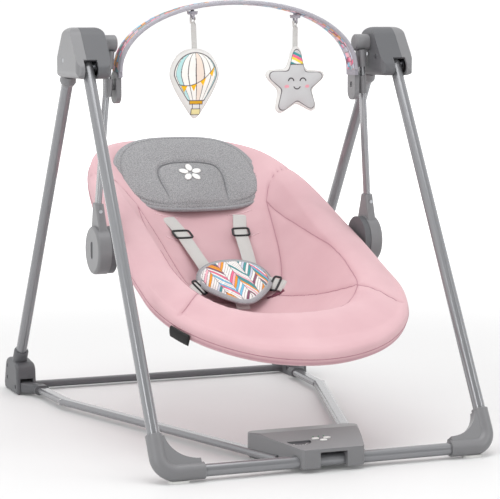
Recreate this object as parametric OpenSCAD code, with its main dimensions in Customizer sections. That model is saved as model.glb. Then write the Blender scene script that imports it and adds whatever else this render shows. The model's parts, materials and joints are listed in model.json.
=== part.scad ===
// Folding baby swing: an A-frame of steel tube that stands on the floor, with a motor-driven
// pair of arms that carry a reclining sling seat, a toy bar and a control unit on the base.
// X runs across the swing, +Y to the back, +Z up. The origin is on the floor in the middle.
// "left" is -X, the left-hand side for a person who stands in front of the swing.

/* [Frame] */
// Distance from the middle of the swing to the axis of each leg
leg_x = 280; // [278:1:284]
// Outside diameter of the leg tubes and of the front crossbar
tube_d = 20; // [19:0.5:20]
// Wall of every steel tube
tube_wall = 1.5; // [1:0.1:2]
// Front crossbar axis, front to back
bar_y = -428; // [-432:1:-426]
// Front crossbar axis, height
bar_z = 16; // [15:0.5:16]
// Thickness of the anti-slip pads under the front corners
pad_t = 4; // [3:0.5:5]

/* [Heads] */
// Front leg pivot in the head, front to back
pivot_y = -67; // [-69:1:-65]
// Front leg pivot in the head, height
pivot_z = 624; // [622:1:626]
// Inner face of the head housings
head_in = 245; // [244:0.5:245]
// Outer face of the head housings
head_out = 305; // [302:1:306]
// Wall of the moulded housings
shell_t = 2.5; // [2:0.1:3]

/* [Swing arms] */
// Swing axis, front to back
swing_y = -29; // [-30:0.5:-28]
// Swing axis, height
swing_z = 660; // [658:0.5:661]
// Diameter of the swing shafts
shaft_d = 12; // [10:0.5:12]
// Width of the flat oval arm tubes, front to back
arm_w = 18; // [17:0.5:18]
// Thickness of the flat oval arm tubes
arm_t = 9; // [8:0.5:9]

/* [Seat] */
// Recline axis, front to back
hub_y = -24; // [-25:0.5:-23]
// Recline axis, height
hub_z = 313; // [311:0.5:315]
// Diameter of the recline hubs
hub_d = 82; // [78:1:83]
// Half width of the seat
seat_w = 226; // [222:1:226]
// Length of the seat from the recline datum to its foot end
seat_front = 229; // [222:1:230]
// Length of the seat from the recline datum to its head end
seat_back = 590; // [570:1:592]
// Tilt of the seat rim at rest
seat_tilt = 20.9; // [20:0.1:22]
// Depth of the sling below the rim
sling_depth = 104; // [96:1:106]

/* [Control unit] */
// Half width of the control unit at its back
unit_back = 95; // [92:1:96]
// Half width of the control unit at its front
unit_front = 53; // [52:1:56]
// Height of the control unit's top edge
unit_top = 47; // [45:0.5:48]

/* [Toy bar] */
// Half width of the toy bar arch
arch_w = 219; // [216:1:219]
// Rise of the arch above its end caps
arch_h = 120; // [112:1:122]
// Width of the arch band, front to back
band_w = 36; // [30:1:38]

/* [Hidden] */
$fn = 64;

PLASTIC = "#7d7d7f";
DARK = "#606063";
STEEL = "#8e8f92";
BLACK = "#242426";
PINK = "#f0c6cc";
GREY_CLOTH = "#a9a9ab";
WHITE = "#e9e8e5";

// Radial gap of a running fit
fit = 0.05;
leg_tilt = atan((pivot_y - bar_y) / (pivot_z - bar_z));
leg_len = norm([pivot_y - bar_y, pivot_z - bar_z]);

// Rear leg: a straight line in the side view
rear_top = [38, 610];
rear_end = [402, 38];
rear_tilt = atan((rear_end[0] - rear_top[0]) / (rear_top[1] - rear_end[1]));
rear_len = norm(rear_end - rear_top);

// Head housing, side view: a large round top over two small bottom corners
head_top_r = 32;
head_foot_r = 14;
head_half = 51;
head_top_z = 655;
head_foot_z = 617;

// Corner sleeve of the front frame
sleeve_d = 27;
sleeve_up = 62;
sleeve_in = 210;
bend_r = 26;

// Base loop
base_z = 14;
base_w = 22;
base_t = 12;
knuckle_y = 366;
knuckle_r = 11.5;
neck_end_y = 311;
neck_x = 258;
bend_at = [250, 190];
base_enter = [94, -306];
base_end_y = -388;
base_turn = atan((bend_at[0] - base_enter[0]) / (bend_at[1] - base_enter[1]));
neck_turn = atan((neck_x - bend_at[0]) / (neck_end_y - bend_at[1]));

// Rear foot
foot_in = 257;
foot_out = 295;
foot_nose = 352;
foot_front = 388;
foot_back = 448;
foot_h = 63;
rear_bar = [400, 10];

// Control unit, side view
unit_y0 = -446;
unit_y1 = -302;
unit_front_z = 38;
unit_ridge_y = -342;
unit_low = 4;
grip_half = 23;
wall = 2.2;

// Swing arms: centre line from inside the upper hub down into the recline socket
arm_top = [231.5, -31, 636];
arm_low = [250.5, -21, 372];
hub_in = 228;
hub_split = 238.8;
hub_out = 262;
boss_d = 30;

// Seat datum and sling
seat_y = -199;
seat_z = 259;
sling_t = 6;
sling_c = 110;
rim_rise = 5;
mouth_w = 155;
ring_inset = 13;
ring_d = 12;

// Toy bar
clip_z = 587;
arch_z = 612;
band_t = 6.5;
balloon_x = -82;
star_x = 107;
star_z = 583;

// ---------------------------------------------------------------- helpers

// Places its children on the right (+X) or mirrored on the left (-X)
module on_side(side) {
    if (side < 0) mirror([1, 0, 0]) children();
    else children();
}

// The same thing on both sides
module both() {
    children();
    mirror([1, 0, 0]) children();
}

// A cylinder along X that starts at x0
module bar_x(x0, y, z, d, len) {
    translate([x0, y, z]) rotate([0, 90, 0]) cylinder(h = len, d = d);
}

// Stands the side view (Y, Z) up and extrudes it along X from x0
module side_extrude(x0, len) {
    translate([x0, 0, 0]) rotate([90, 0, 90]) linear_extrude(len) children();
}

// Flat oval: a square with a half circle at each end, long side along Y
module oval(t, w) {
    square([t, w - t], center = true);
    for (s = [-1, 1]) translate([0, s * (w - t) / 2]) circle(d = t);
}

// Points of an arc
function arc(c, r, a0, a1, n = 8) =
    [for (i = [0:n]) c + r * [cos(a0 + (a1 - a0) * i / n), sin(a0 + (a1 - a0) * i / n)]];

// Convex plate along Z with rounded edges top and bottom
module round_slab(len, edge, steps = 3) {
    hull() for (i = [0:steps]) {
        a = 90 * i / steps;
        rise = edge * (1 - cos(a));
        translate([0, 0, rise]) linear_extrude(len - 2 * rise)
            offset(delta = -edge * (1 - sin(a))) children();
    }
}

// Closed solid between two point grids: rows x cols on the top and again on the bottom.
// The columns close on themselves when loop is true.
function grid_faces(rows, cols, loop) =
    let (n = rows * cols, last = loop ? cols - 1 : cols - 2) concat(
        [for (i = [0:rows - 2], j = [0:last]) let (k = (j + 1) % cols)
            [i * cols + j, i * cols + k, (i + 1) * cols + k]],
        [for (i = [0:rows - 2], j = [0:last]) let (k = (j + 1) % cols)
            [i * cols + j, (i + 1) * cols + k, (i + 1) * cols + j]],
        [for (i = [0:rows - 2], j = [0:last]) let (k = (j + 1) % cols)
            [n + i * cols + j, n + (i + 1) * cols + k, n + i * cols + k]],
        [for (i = [0:rows - 2], j = [0:last]) let (k = (j + 1) % cols)
            [n + i * cols + j, n + (i + 1) * cols + j, n + (i + 1) * cols + k]],
        [for (j = [0:last]) let (k = (j + 1) % cols) each loop ? [
            [n - cols + j, n - cols + k, 2 * n - cols + k],
            [n - cols + j, 2 * n - cols + k, 2 * n - cols + j]] : [
            [j, n + j, n + k], [j, n + k, k],
            [n - cols + j, n - cols + k, 2 * n - cols + k],
            [n - cols + j, 2 * n - cols + k, 2 * n - cols + j]]],
        loop ? [[for (j = [0:cols - 1]) cols - 1 - j], [for (j = [0:cols - 1]) n + j]] : [for (i = [0:rows - 2]) each [
            [i * cols, (i + 1) * cols, n + (i + 1) * cols],
            [i * cols, n + (i + 1) * cols, n + i * cols],
            [(i + 1) * cols - 1, n + (i + 1) * cols - 1, n + (i + 2) * cols - 1],
            [(i + 1) * cols - 1, n + (i + 2) * cols - 1, (i + 2) * cols - 1]]]);

// ---------------------------------------------------------------- heads

// Angle at which the head's straight flank leaves its round corners
head_gap = [head_half, head_top_z - head_foot_z];
head_flank = atan2(head_gap[1], -head_gap[0]) -
    acos((head_foot_r - head_top_r) / norm(head_gap));

module head_profile(inset) {
    c = [[swing_y - head_half, head_foot_z], [swing_y, head_top_z],
        [swing_y + head_half, head_foot_z]];
    r = [head_foot_r - inset, head_top_r - inset, head_foot_r - inset];
    out = [cos(head_flank), sin(head_flank)];
    back = [-out[0], out[1]];
    polygon([c[2] - [0, r[2]], c[2] + r[2] * out, c[1] + r[1] * out,
        c[1] + r[1] * back, c[0] + r[0] * back, c[0] - [0, r[0]]]);
    for (i = [0:2]) translate(c[i]) circle(r = r[i]);
}

module head_solid() {
    w = head_out - head_in;
    h = head_top_z + head_top_r - head_foot_z + head_foot_r;
    edge = 12;
    intersection() {
        side_extrude(head_in, w) head_profile(0);
        translate([head_in + w / 2, swing_y, 590]) linear_extrude(110)
            oval_plate(w, 2 * (head_half + head_foot_r), edge);
        translate([head_in + w / 2, 200, head_foot_z - head_foot_r + h / 2])
            rotate([90, 0, 0]) linear_extrude(400) oval_plate(w, h, edge);
    }
}

// Room for the front leg: open to the front and to the floor over the whole fold
module leg_slot() {
    w = tube_d + 3;
    side_extrude(leg_x - w / 2, w) {
        translate([pivot_y, pivot_z]) circle(r = w / 2);
        polygon([[-140, 560], [-41, 560], [-41, pivot_z - 8], [pivot_y + 2, pivot_z],
            [pivot_y - 52, pivot_z + 30]]);
    }
}

module rear_axis() {
    translate([leg_x, rear_top[0], rear_top[1]]) rotate([180 + rear_tilt, 0, 0]) children();
}

module head_shell() {
    difference() {
        head_solid();
        side_extrude(head_in + 2 * shell_t, head_out - head_in - 4 * shell_t)
            head_profile(2 * shell_t);
        leg_slot();
    }
}

// Split plane between the two halves of the head
head_split = 286;
collar_neck = 22;
head_screws = [[-62, 636], [-29, 640], [4, 636]];

module head_outer_shell(side) {
    color(PLASTIC) on_side(side) {
        difference() {
            union() {
                intersection() {
                    head_shell();
                    translate([head_split, -200, 500]) cube([60, 300, 300]);
                }
                rear_collar();
            }
            bar_x(head_out - 2, swing_y + 20, 632, 9, 10);
            rear_axis() translate([0, 0, -20]) cylinder(h = 60, r = tube_d / 2 + fit);
        }
    }
}

// Socket under the head that holds the rear leg
module rear_collar() {
    rear_axis() {
        translate([0, 0, -8]) cylinder(h = 14, d = collar_neck);
        translate([0, 0, 4]) cylinder(h = 12, d1 = tube_d + 6, d2 = tube_d + 8.5);
        translate([0, 0, 16]) cylinder(h = 5, d1 = tube_d + 8.5, d2 = tube_d + 4);
    }
}

module head_inner_shell(side) {
    color(DARK) on_side(side) difference() {
        intersection() {
            head_shell();
            translate([head_split - 60.2, -200, 500]) cube([60, 300, 300]);
        }
        bar_x(head_in - 2, swing_y, swing_z, shaft_d + 3, 10);
        rear_axis() {
            translate([0, 0, -20]) cylinder(h = 30, d = collar_neck + 0.4);
            translate([0, 0, 3.6]) cylinder(h = 20, d = tube_d + 9);
        }
        for (p = head_screws) bar_x(head_in - 1, p[0], p[1], 7, 2);
    }
}

// Two steel plates in each head tie the pivot, the rear leg and the shaft bearing together
bracket_in = leg_x - tube_d / 2 - 3.2;
bracket_out = leg_x + tube_d / 2 + 1.2;
bracket_t = 2;
pin_d = 8;
heel = [6, 616];

module bracket_plate(x0) {
    side_extrude(x0, bracket_t) difference() {
        union() {
            polygon([[pivot_y, pivot_z - 11], [heel[0], heel[1] - 5], [heel[0] + 5, heel[1]],
                [swing_y + 12, swing_z + 7], [swing_y - 12, swing_z + 7],
                [pivot_y - 8, pivot_z + 7]]);
            translate([pivot_y, pivot_z]) circle(r = 11);
            translate(heel) circle(r = 5);
            translate([swing_y, swing_z]) circle(r = 14);
        }
        translate([pivot_y, pivot_z]) circle(r = pin_d / 2 + fit);
        translate([swing_y, swing_z]) circle(d = 18);
    }
}

module head_brackets() {
    color(STEEL) both() {
        bracket_plate(bracket_in);
        bracket_plate(bracket_out);
    }
}

module hinge_pins() {
    color("silver") both() {
        bar_x(bracket_in - 1, pivot_y, pivot_z, pin_d, bracket_out - bracket_in + bracket_t + 2);
        bar_x(foot_in + 2, knuckle_y, base_z, pin_d, foot_out - foot_in - 4);
    }
}

module swing_bearings() {
    color("#d8d4c4") both() for (x = [bracket_in - 4, bracket_out - 1]) difference() {
        union() {
            bar_x(x, swing_y, swing_z, 18, 7);
            bar_x(x, swing_y, swing_z, 22, 2.5 - (x > leg_x ? 1.5 : 0));
        }
        bar_x(x - 1, swing_y, swing_z, shaft_d + 2 * fit, 10);
    }
}

// Electromagnet on the left head's brackets, opposite the magnet on the swing shaft
module drive_coil() {
    y = swing_y + 25;
    z = swing_z - 20;
    color("#b5602c") mirror([1, 0, 0]) {
        bar_x(bracket_in + bracket_t, y, z, 9, bracket_out - bracket_in - bracket_t);
        bar_x(leg_x - 7, y, z, 16, 14);
        for (x = [leg_x - 9, leg_x + 7]) bar_x(x, y, z, 21, 2);
    }
}

// ---------------------------------------------------------------- rear frame

module tube(len, d = tube_d) {
    difference() {
        cylinder(h = len, d = d);
        translate([0, 0, -1]) cylinder(h = len + 2, d = d - 2 * tube_wall);
    }
}

module rear_leg(side) {
    color(STEEL) on_side(side) rear_axis() translate([0, 0, -14]) tube(rear_len + 8);
}

module foot_profile() {
    polygon(concat(
        [[foot_nose, 3], [foot_nose + 6, 0], [foot_back - 4, 0]],
        arc([foot_back - 8, 12], 8, -30, 10, 3),
        arc([foot_front + 27, foot_h - 24], 24, 20, 100, 8),
        arc([foot_nose + 22, foot_h - 22], 18, 100, 170, 6)));
}

module rear_foot(side) {
    color(DARK) on_side(side) difference() {
        union() {
            translate([foot_in, 0, 0]) rotate([90, 0, 90])
                round_slab(foot_out - foot_in, 5) foot_profile();
            // socket of the rear leg
            intersection() {
                rear_axis() translate([0, 0, rear_len - 50]) {
                    cylinder(h = 50, d = tube_d + 7);
                    translate([0, 0, -3]) cylinder(h = 3, d1 = tube_d + 4, d2 = tube_d + 7);
                }
                translate([200, 300, 2]) cube([150, 200, 200]);
            }
        }
        rear_axis() translate([0, 0, 100]) cylinder(h = rear_len - 105.9, r = tube_d / 2 + fit);
        bar_x(foot_in - 1, knuckle_y, base_z, pin_d + 2 * fit, 60);
        // room for the neck between two cheeks
        translate([foot_in + 6.8, 300, -1])
            cube([foot_out - foot_in - 13.6, knuckle_y - 300 + knuckle_r + 1.5, 31]);
        translate([foot_in - 1, rear_bar[0], rear_bar[1]]) rotate([0, 90, 0])
            linear_extrude(16) oval(base_t + 0.1, base_w + 0.1);
        for (z = [24, 46]) bar_x(foot_out - 3, foot_front + 34, z, 7.5, 5);
    }
}

module rear_crossbar() {
    len = 2 * (foot_in + 14);
    color(DARK) translate([-len / 2, rear_bar[0], rear_bar[1]]) rotate([0, 90, 0])
        linear_extrude(len) difference() {
            oval(base_t, base_w);
            oval(base_t - 3, base_w - 3);
        }
}

// ---------------------------------------------------------------- front frame

// Local frame of the front legs: origin at the crossbar axis, Z up along the legs
module leg_plane() {
    translate([0, bar_y, bar_z]) rotate([-leg_tilt, 0, 0]) children();
}

module front_leg(side) {
    color(STEEL) on_side(side) difference() {
        leg_plane() translate([leg_x, 0, 0]) {
            translate([0, 0, bend_r + 6]) tube(leg_len - bend_r - 36);
            translate([0, 0, leg_len - 30]) cylinder(h = 30, d = tube_d);
            translate([0, 0, leg_len]) sphere(d = tube_d);
        }
        bar_x(leg_x - 20, pivot_y, pivot_z, pin_d + 2 * fit, 40);
    }
}

module front_crossbar() {
    half = leg_x - bend_r - 6;
    color(STEEL) translate([-half, bar_y, bar_z]) rotate([0, 90, 0]) tube(2 * half);
}

module corner_sleeve(side) {
    color(PLASTIC) on_side(side) difference() {
        union() {
            leg_plane() {
                translate([leg_x, 0, bend_r]) cylinder(h = sleeve_up - bend_r, d = sleeve_d);
                translate([leg_x - bend_r, 0, bend_r]) rotate([-90, 0, 0])
                    rotate_extrude(angle = 90) translate([bend_r, 0]) circle(d = sleeve_d);
                translate([sleeve_in, 0, 0]) rotate([0, 90, 0])
                    cylinder(h = leg_x - bend_r - sleeve_in, d = sleeve_d);
                // gusset with a hollow curve between the two sockets
                translate([0, 9, 0]) rotate([90, 0, 0]) linear_extrude(18) difference() {
                    translate([sleeve_in + 4, 0]) square([leg_x - sleeve_in - 4, sleeve_up - 4]);
                    translate([sleeve_in + 4, sleeve_up + 1]) scale([1, 0.86])
                        circle(r = leg_x - sleeve_in - sleeve_d / 2 - 4);
                    translate([leg_x - bend_r, -1]) difference() {
                        square([60, bend_r + 1]);
                        translate([0, bend_r + 1]) circle(r = bend_r + 10);
                    }
                }
            }
        }
        leg_plane() translate([leg_x, 0, bend_r + 5.9]) cylinder(h = 100, r = tube_d / 2 + fit);
        translate([sleeve_in - 5, bar_y, bar_z]) rotate([0, 90, 0])
            cylinder(h = leg_x - bend_r - 5.9 - sleeve_in + 5, r = tube_d / 2 + fit);
        translate([0, bar_y - 60, -20]) cube([400, 120, 20 + pad_t]);
    }
}

module front_foot_pads() {
    color(WHITE) both() translate([leg_x - 30, bar_y, 0]) linear_extrude(pad_t) {
        square([16, 18], center = true);
        for (s = [-1, 1]) translate([s * 8, 0]) circle(d = 18);
    }
}

// ---------------------------------------------------------------- base loop

module base_oval() {
    rotate([0, 0, 90]) oval(base_t, base_w);
}

// Lays a tube of the base along the floor: from p towards the front, turned about Z
module base_run(p, turn, len, grow = 0) {
    translate([p[0], p[1], base_z]) rotate([90, 0, -turn])
        linear_extrude(len) rotate([0, 0, 90]) oval(base_t + grow, base_w + grow);
}

module base_tube(side) {
    run = (bend_at[1] - base_end_y) / cos(base_turn);
    color(STEEL) on_side(side) {
        base_run([neck_x, neck_end_y + 20], neck_turn, (neck_end_y + 20 - bend_at[1]) / cos(neck_turn));
        base_run(bend_at, base_turn, run);
        translate([bend_at[0], bend_at[1], base_z]) cylinder(h = base_t - 2, d = base_w - 1,
            center = true);
    }
}

// Necks that turn on the foot hinge and hold the back ends of the base tubes
module base_necks() {
    color(DARK) both() difference() {
        union() {
            bar_x(foot_in + 7.3, knuckle_y, base_z, 2 * knuckle_r - 1, foot_out - foot_in - 14.6);
            hull() {
                translate([foot_in + 7.3, knuckle_y - 15, base_z - 8])
                    cube([foot_out - foot_in - 14.6, 0.5, 17]);
                translate([neck_x, neck_end_y + 14, base_z]) rotate([90, 0, 0])
                    cylinder(h = 2, d = 19, $fn = 32);
            }
            translate([foot_in + 7.3, knuckle_y - 15, base_z - 8])
                cube([foot_out - foot_in - 14.6, 15, 17]);
            translate([neck_x, neck_end_y + 22, base_z]) rotate([90, 0, 0]) linear_extrude(22)
                rotate([0, 0, 90]) oval(base_t + 6, base_w + 6);
        }
        base_run([neck_x, neck_end_y + 20.05], neck_turn, 60, 0.1);
        bar_x(foot_in - 1, knuckle_y, base_z, pin_d + 2 * fit, 60);
    }
}

// ---------------------------------------------------------------- control unit

// Plan of the unit: wide and round at the back, narrow at the front
module unit_plan() {
    r = 20;
    polygon(concat(
        [[unit_front, unit_y0 + 4], [unit_front - 4, unit_y0]],
        [[-unit_front + 4, unit_y0], [-unit_front, unit_y0 + 4]],
        [[-unit_front - 2, bar_y + 14]],
        arc([-unit_back + r, unit_y1 - r], r, 190, 90, 6),
        arc([unit_back - r, unit_y1 - r], r, 90, -10, 6),
        [[unit_front + 2, bar_y + 14]]));
}

// Body under the sloping lid; the same shape, smaller, hollows it
module unit_body(inset) {
    intersection() {
        translate([0, 0, unit_low]) round_slab(unit_top - unit_low - inset, 5)
            offset(delta = -inset) unit_plan();
        side_extrude(-200, 400) polygon([[unit_y0 - 5, 0], [unit_y1 + 5, 0],
            [unit_y1 + 5, unit_top - 4 - inset], [unit_ridge_y, unit_top - inset],
            [unit_y0 - 5, unit_front_z - 1 - inset]]);
    }
}

// Room for the front crossbar, open below and behind so that the unit lifts off it
module bar_throat() {
    run = 60;
    slide = 0.62;
    side_extrude(-200, 400) {
        translate([bar_y, bar_z]) circle(r = tube_d / 2 + 0.5);
        polygon([[bar_y - tube_d / 2 - 0.5, -5], [bar_y - tube_d / 2 - 0.5, bar_z],
            [bar_y, bar_z + tube_d / 2 + 0.5], [bar_y + 7, bar_z + 8.5],
            [bar_y + 7 + run, bar_z + 8.5 - run * slide], [bar_y + run, -20]]);
    }
}

module base_tube_room() {
    both() base_run(bend_at, base_turn, (bend_at[1] - base_end_y) / cos(base_turn) + 1, 0.2);
}

split_z = 15;
led_y = -381;
screw_d = 2.6;
wheel_at = [53.5, -405, 33];
wheel_r = 8.5;
socket_at = [-80.5, -362.8, 26.5];
screw_spots = [[-66, -322], [66, -322], [-50, -372], [50, -372]];

dial_at = [-40, -398];
dial_r = 19;
buttons_at = [[-9, -392], [11, -392], [1, -402]];
lid_slope = atan((unit_top - unit_front_z + 1) / (unit_ridge_y - unit_y0 + 5));

// Height of the lid at a place y
function lid_z(y) = unit_top - (unit_ridge_y - y) * tan(lid_slope);

// Local frame on the sloping lid
module on_lid(p, down = 0) {
    translate([p[0], p[1], lid_z(p[1])]) rotate([lid_slope, 0, 0]) translate([0, 0, -down])
        children();
}

module control_upper_shell() {
    color(PLASTIC) difference() {
        union() {
            difference() {
                unit_body(0);
                intersection() {
                    unit_body(wall);
                    translate([-200, bar_y + 13, 0]) cube([400, 300, 100]);
                }
            }
            // bosses for the screws
            for (p = screw_spots) translate(concat(p, split_z)) cylinder(h = 28.5, d = 7);
        }
        for (p = screw_spots) translate(concat(p, 0)) cylinder(h = unit_low + 16.6, d = screw_d);
        bar_throat();
        base_tube_room();
        translate([-200, bar_y + 12, 0]) cube([400, 300, split_z]);
        // finger opening between the two hooks
        side_extrude(-grip_half, 2 * grip_half) polygon([[unit_y0 - 5, -5], [unit_y0 - 5, 32],
            [bar_y + 8, 32], [bar_y + 8, -5]]);
        translate([-200, unit_y0 - 5, -5]) cube([400, 40, 12]);
        // window of the dial and holes of the buttons
        on_lid(dial_at, 8) intersection() {
            cylinder(h = 20, r = dial_r + 0.8);
            translate([-30, -30, 0]) cube([60, 32, 20]);
        }
        for (p = buttons_at) on_lid(p, 8) linear_extrude(20) scale([1, 0.62]) circle(r = 6.4);
        for (i = [-1, 0, 1]) on_lid([1 + i * 9, led_y], 8) cylinder(h = 20, r = 1.3);
        // slot of the volume wheel in the right side
        translate(wheel_at) cylinder(h = 5, r = wheel_r + 0.7, center = true);
        // hole of the power socket in the left side
        translate(socket_at) rotate([0, 90, base_turn]) cylinder(h = 20, d = 8.6);
    }
}

module control_lower_shell() {
    color(DARK) difference() {
        intersection() {
            unit_body(0.3);
            translate([-200, bar_y + 12, 0]) cube([400, 300, split_z - 0.3]);
        }
        intersection() {
            unit_body(wall + 0.3);
            translate([-200, bar_y + 12, unit_low + wall]) cube([400, 300, 40]);
        }
        bar_throat();
        base_tube_room();
        translate([-38, -383, 0]) cube([76, 70, 12]);
        for (p = screw_spots) translate(concat(p, 0)) cylinder(h = 20, d = screw_d + 0.2);
    }
}

module battery_cover() {
    color(DARK) difference() {
        translate([-37.7, -382.7, unit_low]) cube([75.4, 69.4, 2]);
        for (s = [-1, 1]) translate([s * 30, -348, 0]) cylinder(h = 20, d = 3.2);
    }
}

module circuit_board() {
    color("#2f6b45") {
        difference() {
            translate([-46, -404, 26]) cube([92, 76, 1.6]);
            translate(concat(dial_at, 20)) cylinder(h = 20, d = 5);
        }
        for (i = [-1, 0, 1]) on_lid([1 + i * 9, led_y], 16.2) cylinder(h = 15.8, d = 2.3);
        translate([-30, -352, 27.6]) cube([24, 14, 3]);
        translate([18, -346, 27.6]) cylinder(h = 5, d = 22);
    }
}

module dc_socket() {
    color(BLACK) translate(socket_at) rotate([0, 90, base_turn]) difference() {
        cylinder(h = 12, d = 8.4);
        translate([0, 0, -1]) cylinder(h = 10, r = 2.75);
    }
}

module control_screws() {
    color("silver") {
        for (p = screw_spots) translate([p[0], p[1], unit_low - 1.4]) {
            cylinder(h = 1.4, d = 6);
            cylinder(h = 18, d = screw_d);
        }
        for (s = [-1, 1]) translate([s * 30, -348, unit_low - 1]) {
            cylinder(h = 1, d = 5.5);
            cylinder(h = 8, d = 3);
        }
    }
}

module speed_dial() {
    color(DARK) on_lid(dial_at, 6.6) difference() {
        union() {
            cylinder(h = 4, r = dial_r);
            translate([0, 0, -6]) cylinder(h = 6, d = 4.6);
        }
        for (a = [0:30:330]) rotate([0, 0, a]) translate([dial_r, 0, -1]) cylinder(h = 8, d = 2.4);
    }
}

module lid_button(i) {
    color("white") on_lid(buttons_at[i], 5) linear_extrude(6.2) scale([1, 0.62]) circle(r = 6);
}

module timer_button() { lid_button(0); }
module melody_button() { lid_button(1); }
module power_button() { lid_button(2); }

module volume_wheel() {
    color(DARK) translate(wheel_at) difference() {
        cylinder(h = 4, r = wheel_r, center = true);
        cylinder(h = 10, d = 3, center = true);
        for (a = [0:30:330]) rotate([0, 0, a]) translate([wheel_r, 0, -5]) cylinder(h = 10, d = 1.4);
    }
}

// ---------------------------------------------------------------- swing arms

arm_gap = arm_top - arm_low;
arm_len = norm(arm_gap);
arm_lean = asin(arm_gap[0] / arm_len);
arm_pitch = -atan(arm_gap[1] / arm_gap[2]);

// Local frame of the arm: origin at its lower end, Z up along it
module arm_frame() {
    translate(arm_low) rotate([arm_pitch, 0, 0]) rotate([0, arm_lean, 0]) children();
}

module swing_arm(side) {
    color(STEEL) on_side(side) difference() {
        arm_frame() linear_extrude(arm_len) difference() {
            oval(arm_t, arm_w);
            oval(arm_t - 2 * tube_wall, arm_w - 2 * tube_wall);
        }
        snap_hole();
    }
}

hub_top_d = 29;
hub_cap = 219;

module arm_hub(side) {
    color(PLASTIC) on_side(side) difference() {
        union() {
            bar_x(hub_cap + 2, swing_y, swing_z, hub_top_d, head_in - hub_cap - 2.6);
            translate([hub_cap, swing_y, swing_z]) rotate([0, 90, 0])
                cylinder(h = 2, d1 = hub_top_d - 4, d2 = hub_top_d);
            arm_frame() translate([0, 0, arm_len - 18]) linear_extrude(30) oval(14, 25);
        }
        arm_frame() translate([0, 0, -5]) linear_extrude(arm_len + 5.1)
            oval(arm_t + 2 * fit, arm_w + 2 * fit);
        bar_x(hub_cap + 6, swing_y, swing_z, shaft_d, 40);
    }
}

module swing_shafts() {
    color("silver") both() bar_x(hub_cap + 6, swing_y, swing_z, shaft_d, 74);
}

// Magnet arm on the left shaft, between the bracket plates and beside the coil
module drive_magnet() {
    color("#9a9a9c") mirror([1, 0, 0]) difference() {
        side_extrude(leg_x - 5, 8) {
            translate([swing_y, swing_z]) circle(r = 10);
            translate([swing_y - 5, swing_z - 22]) square([10, 20]);
        }
        bar_x(leg_x - 20, swing_y, swing_z, shaft_d, 60);
    }
}

button_w = 12;
button_h = 29;

module recline_socket(side) {
    color(PLASTIC) on_side(side) difference() {
        union() {
            translate([hub_split + 0.2, hub_y, hub_z]) rotate([0, 90, 0]) rotate_extrude()
                polygon(concat([[0, 0], [hub_d / 2, 0]],
                    arc([hub_d / 2 - 5, hub_out - hub_split - 5.2], 5, 0, 90, 5),
                    [[0, hub_out - hub_split - 0.2]]));
            hull() {
                arm_frame() translate([0, 0, 18]) linear_extrude(2) oval(15, 25, $fn = 32);
                translate([hub_split + 2, hub_y - 26, hub_z + 18]) cube([14, 52, 6]);
            }
        }
        arm_frame() translate([0, 0, -0.1]) linear_extrude(60)
            oval(arm_t + 2 * fit, arm_w + 2 * fit);
        // oval well of the push button
        bar_x(hub_split - 1, hub_y, hub_z, 10, 60);
        bar_x(hub_split - 1, hub_y, hub_z, boss_d + 2 * fit, 5.4);
        translate([hub_out - 9, hub_y, hub_z]) rotate([0, 90, 0]) linear_extrude(20)
            rotate([0, 0, 90]) oval(button_w + 0.6, button_h + 0.6);
        snap_hole();
    }
}

// Round hole for the snap button on the front edge of the socket
module snap_hole() {
    arm_frame() translate([0, 0, 8]) rotate([90, 0, 0]) cylinder(h = 40, d = 6 + 2 * fit);
}

module recline_button(side) {
    color(DARK) on_side(side) {
        translate([hub_out - 6, hub_y, hub_z]) rotate([0, 90, 0]) linear_extrude(4.6)
            rotate([0, 0, 90]) oval(button_w, button_h);
        bar_x(hub_out - 15, hub_y, hub_z, 9.8, 9.2);
    }
}

module snap_button(side) {
    color(BLACK) on_side(side) arm_frame() translate([0, -arm_w / 2 - 0.2, 8])
        rotate([90, 0, 0]) cylinder(h = 8.6, d = 6);
}

// Jaws that hold the toy bar to the arms, with the stud that it turns on
function arm_x(z) = arm_low[0] + (z - arm_low[2]) * arm_gap[0] / arm_gap[2];
function arm_y(z) = arm_low[1] + (z - arm_low[2]) * arm_gap[1] / arm_gap[2];

module toy_bar_clips() {
    color(PLASTIC) both() difference() {
        union() {
            translate([arm_x(clip_z) - 1.5, arm_y(clip_z), clip_z]) rotate([arm_pitch, arm_lean, 0])
                linear_extrude(30, center = true) oval(14.5, arm_w + 7);
            bar_x(216, arm_y(clip_z), clip_z, 10, 12);
        }
        arm_frame() translate([0, 0, -5]) linear_extrude(arm_len + 10)
            oval(arm_t + 2 * fit, arm_w + 2 * fit);
        translate([arm_x(clip_z) + 3.6, -100, clip_z - 40]) cube([20, 200, 80]);
    }
}

// ---------------------------------------------------------------- seat

// Seat frame: x across, s along the rim towards the head, n up from the rim plane
function seat_at(p) = [p[0],
    seat_y + p[1] * cos(seat_tilt) - p[2] * sin(seat_tilt),
    seat_z + p[1] * sin(seat_tilt) + p[2] * cos(seat_tilt)];

module seat_plane() {
    translate([0, seat_y, seat_z]) rotate([seat_tilt, 0, 0]) children();
}

function spow(v, e) = sign(v) * pow(abs(v), e);
back_e = 2 / 3.4;

// Evens out the spacing of the points along the squarer back half of the outline
function even(v) = v < 0.5 ? 0.5 * pow(2 * v, 1.7) : 1 - 0.5 * pow(2 - 2 * v, 1.7);
function back_t(t) = t > 90 ? 180 - 90 * even((180 - t) / 90) : 90 * even(t / 90);

// Outline of the seat at an angle t from -180 to 180, with an even inset
function rim(t, inset = 0) = t < 0
    ? [(seat_w - inset) * cos(t), (seat_front - inset) * sin(t)]
    : [(seat_w - inset) * spow(cos(back_t(t)), back_e),
        (seat_back - inset) * spow(sin(back_t(t)), back_e)];
function turn_at(j, n) = -180 + 360 * (j % n) / n;

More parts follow.
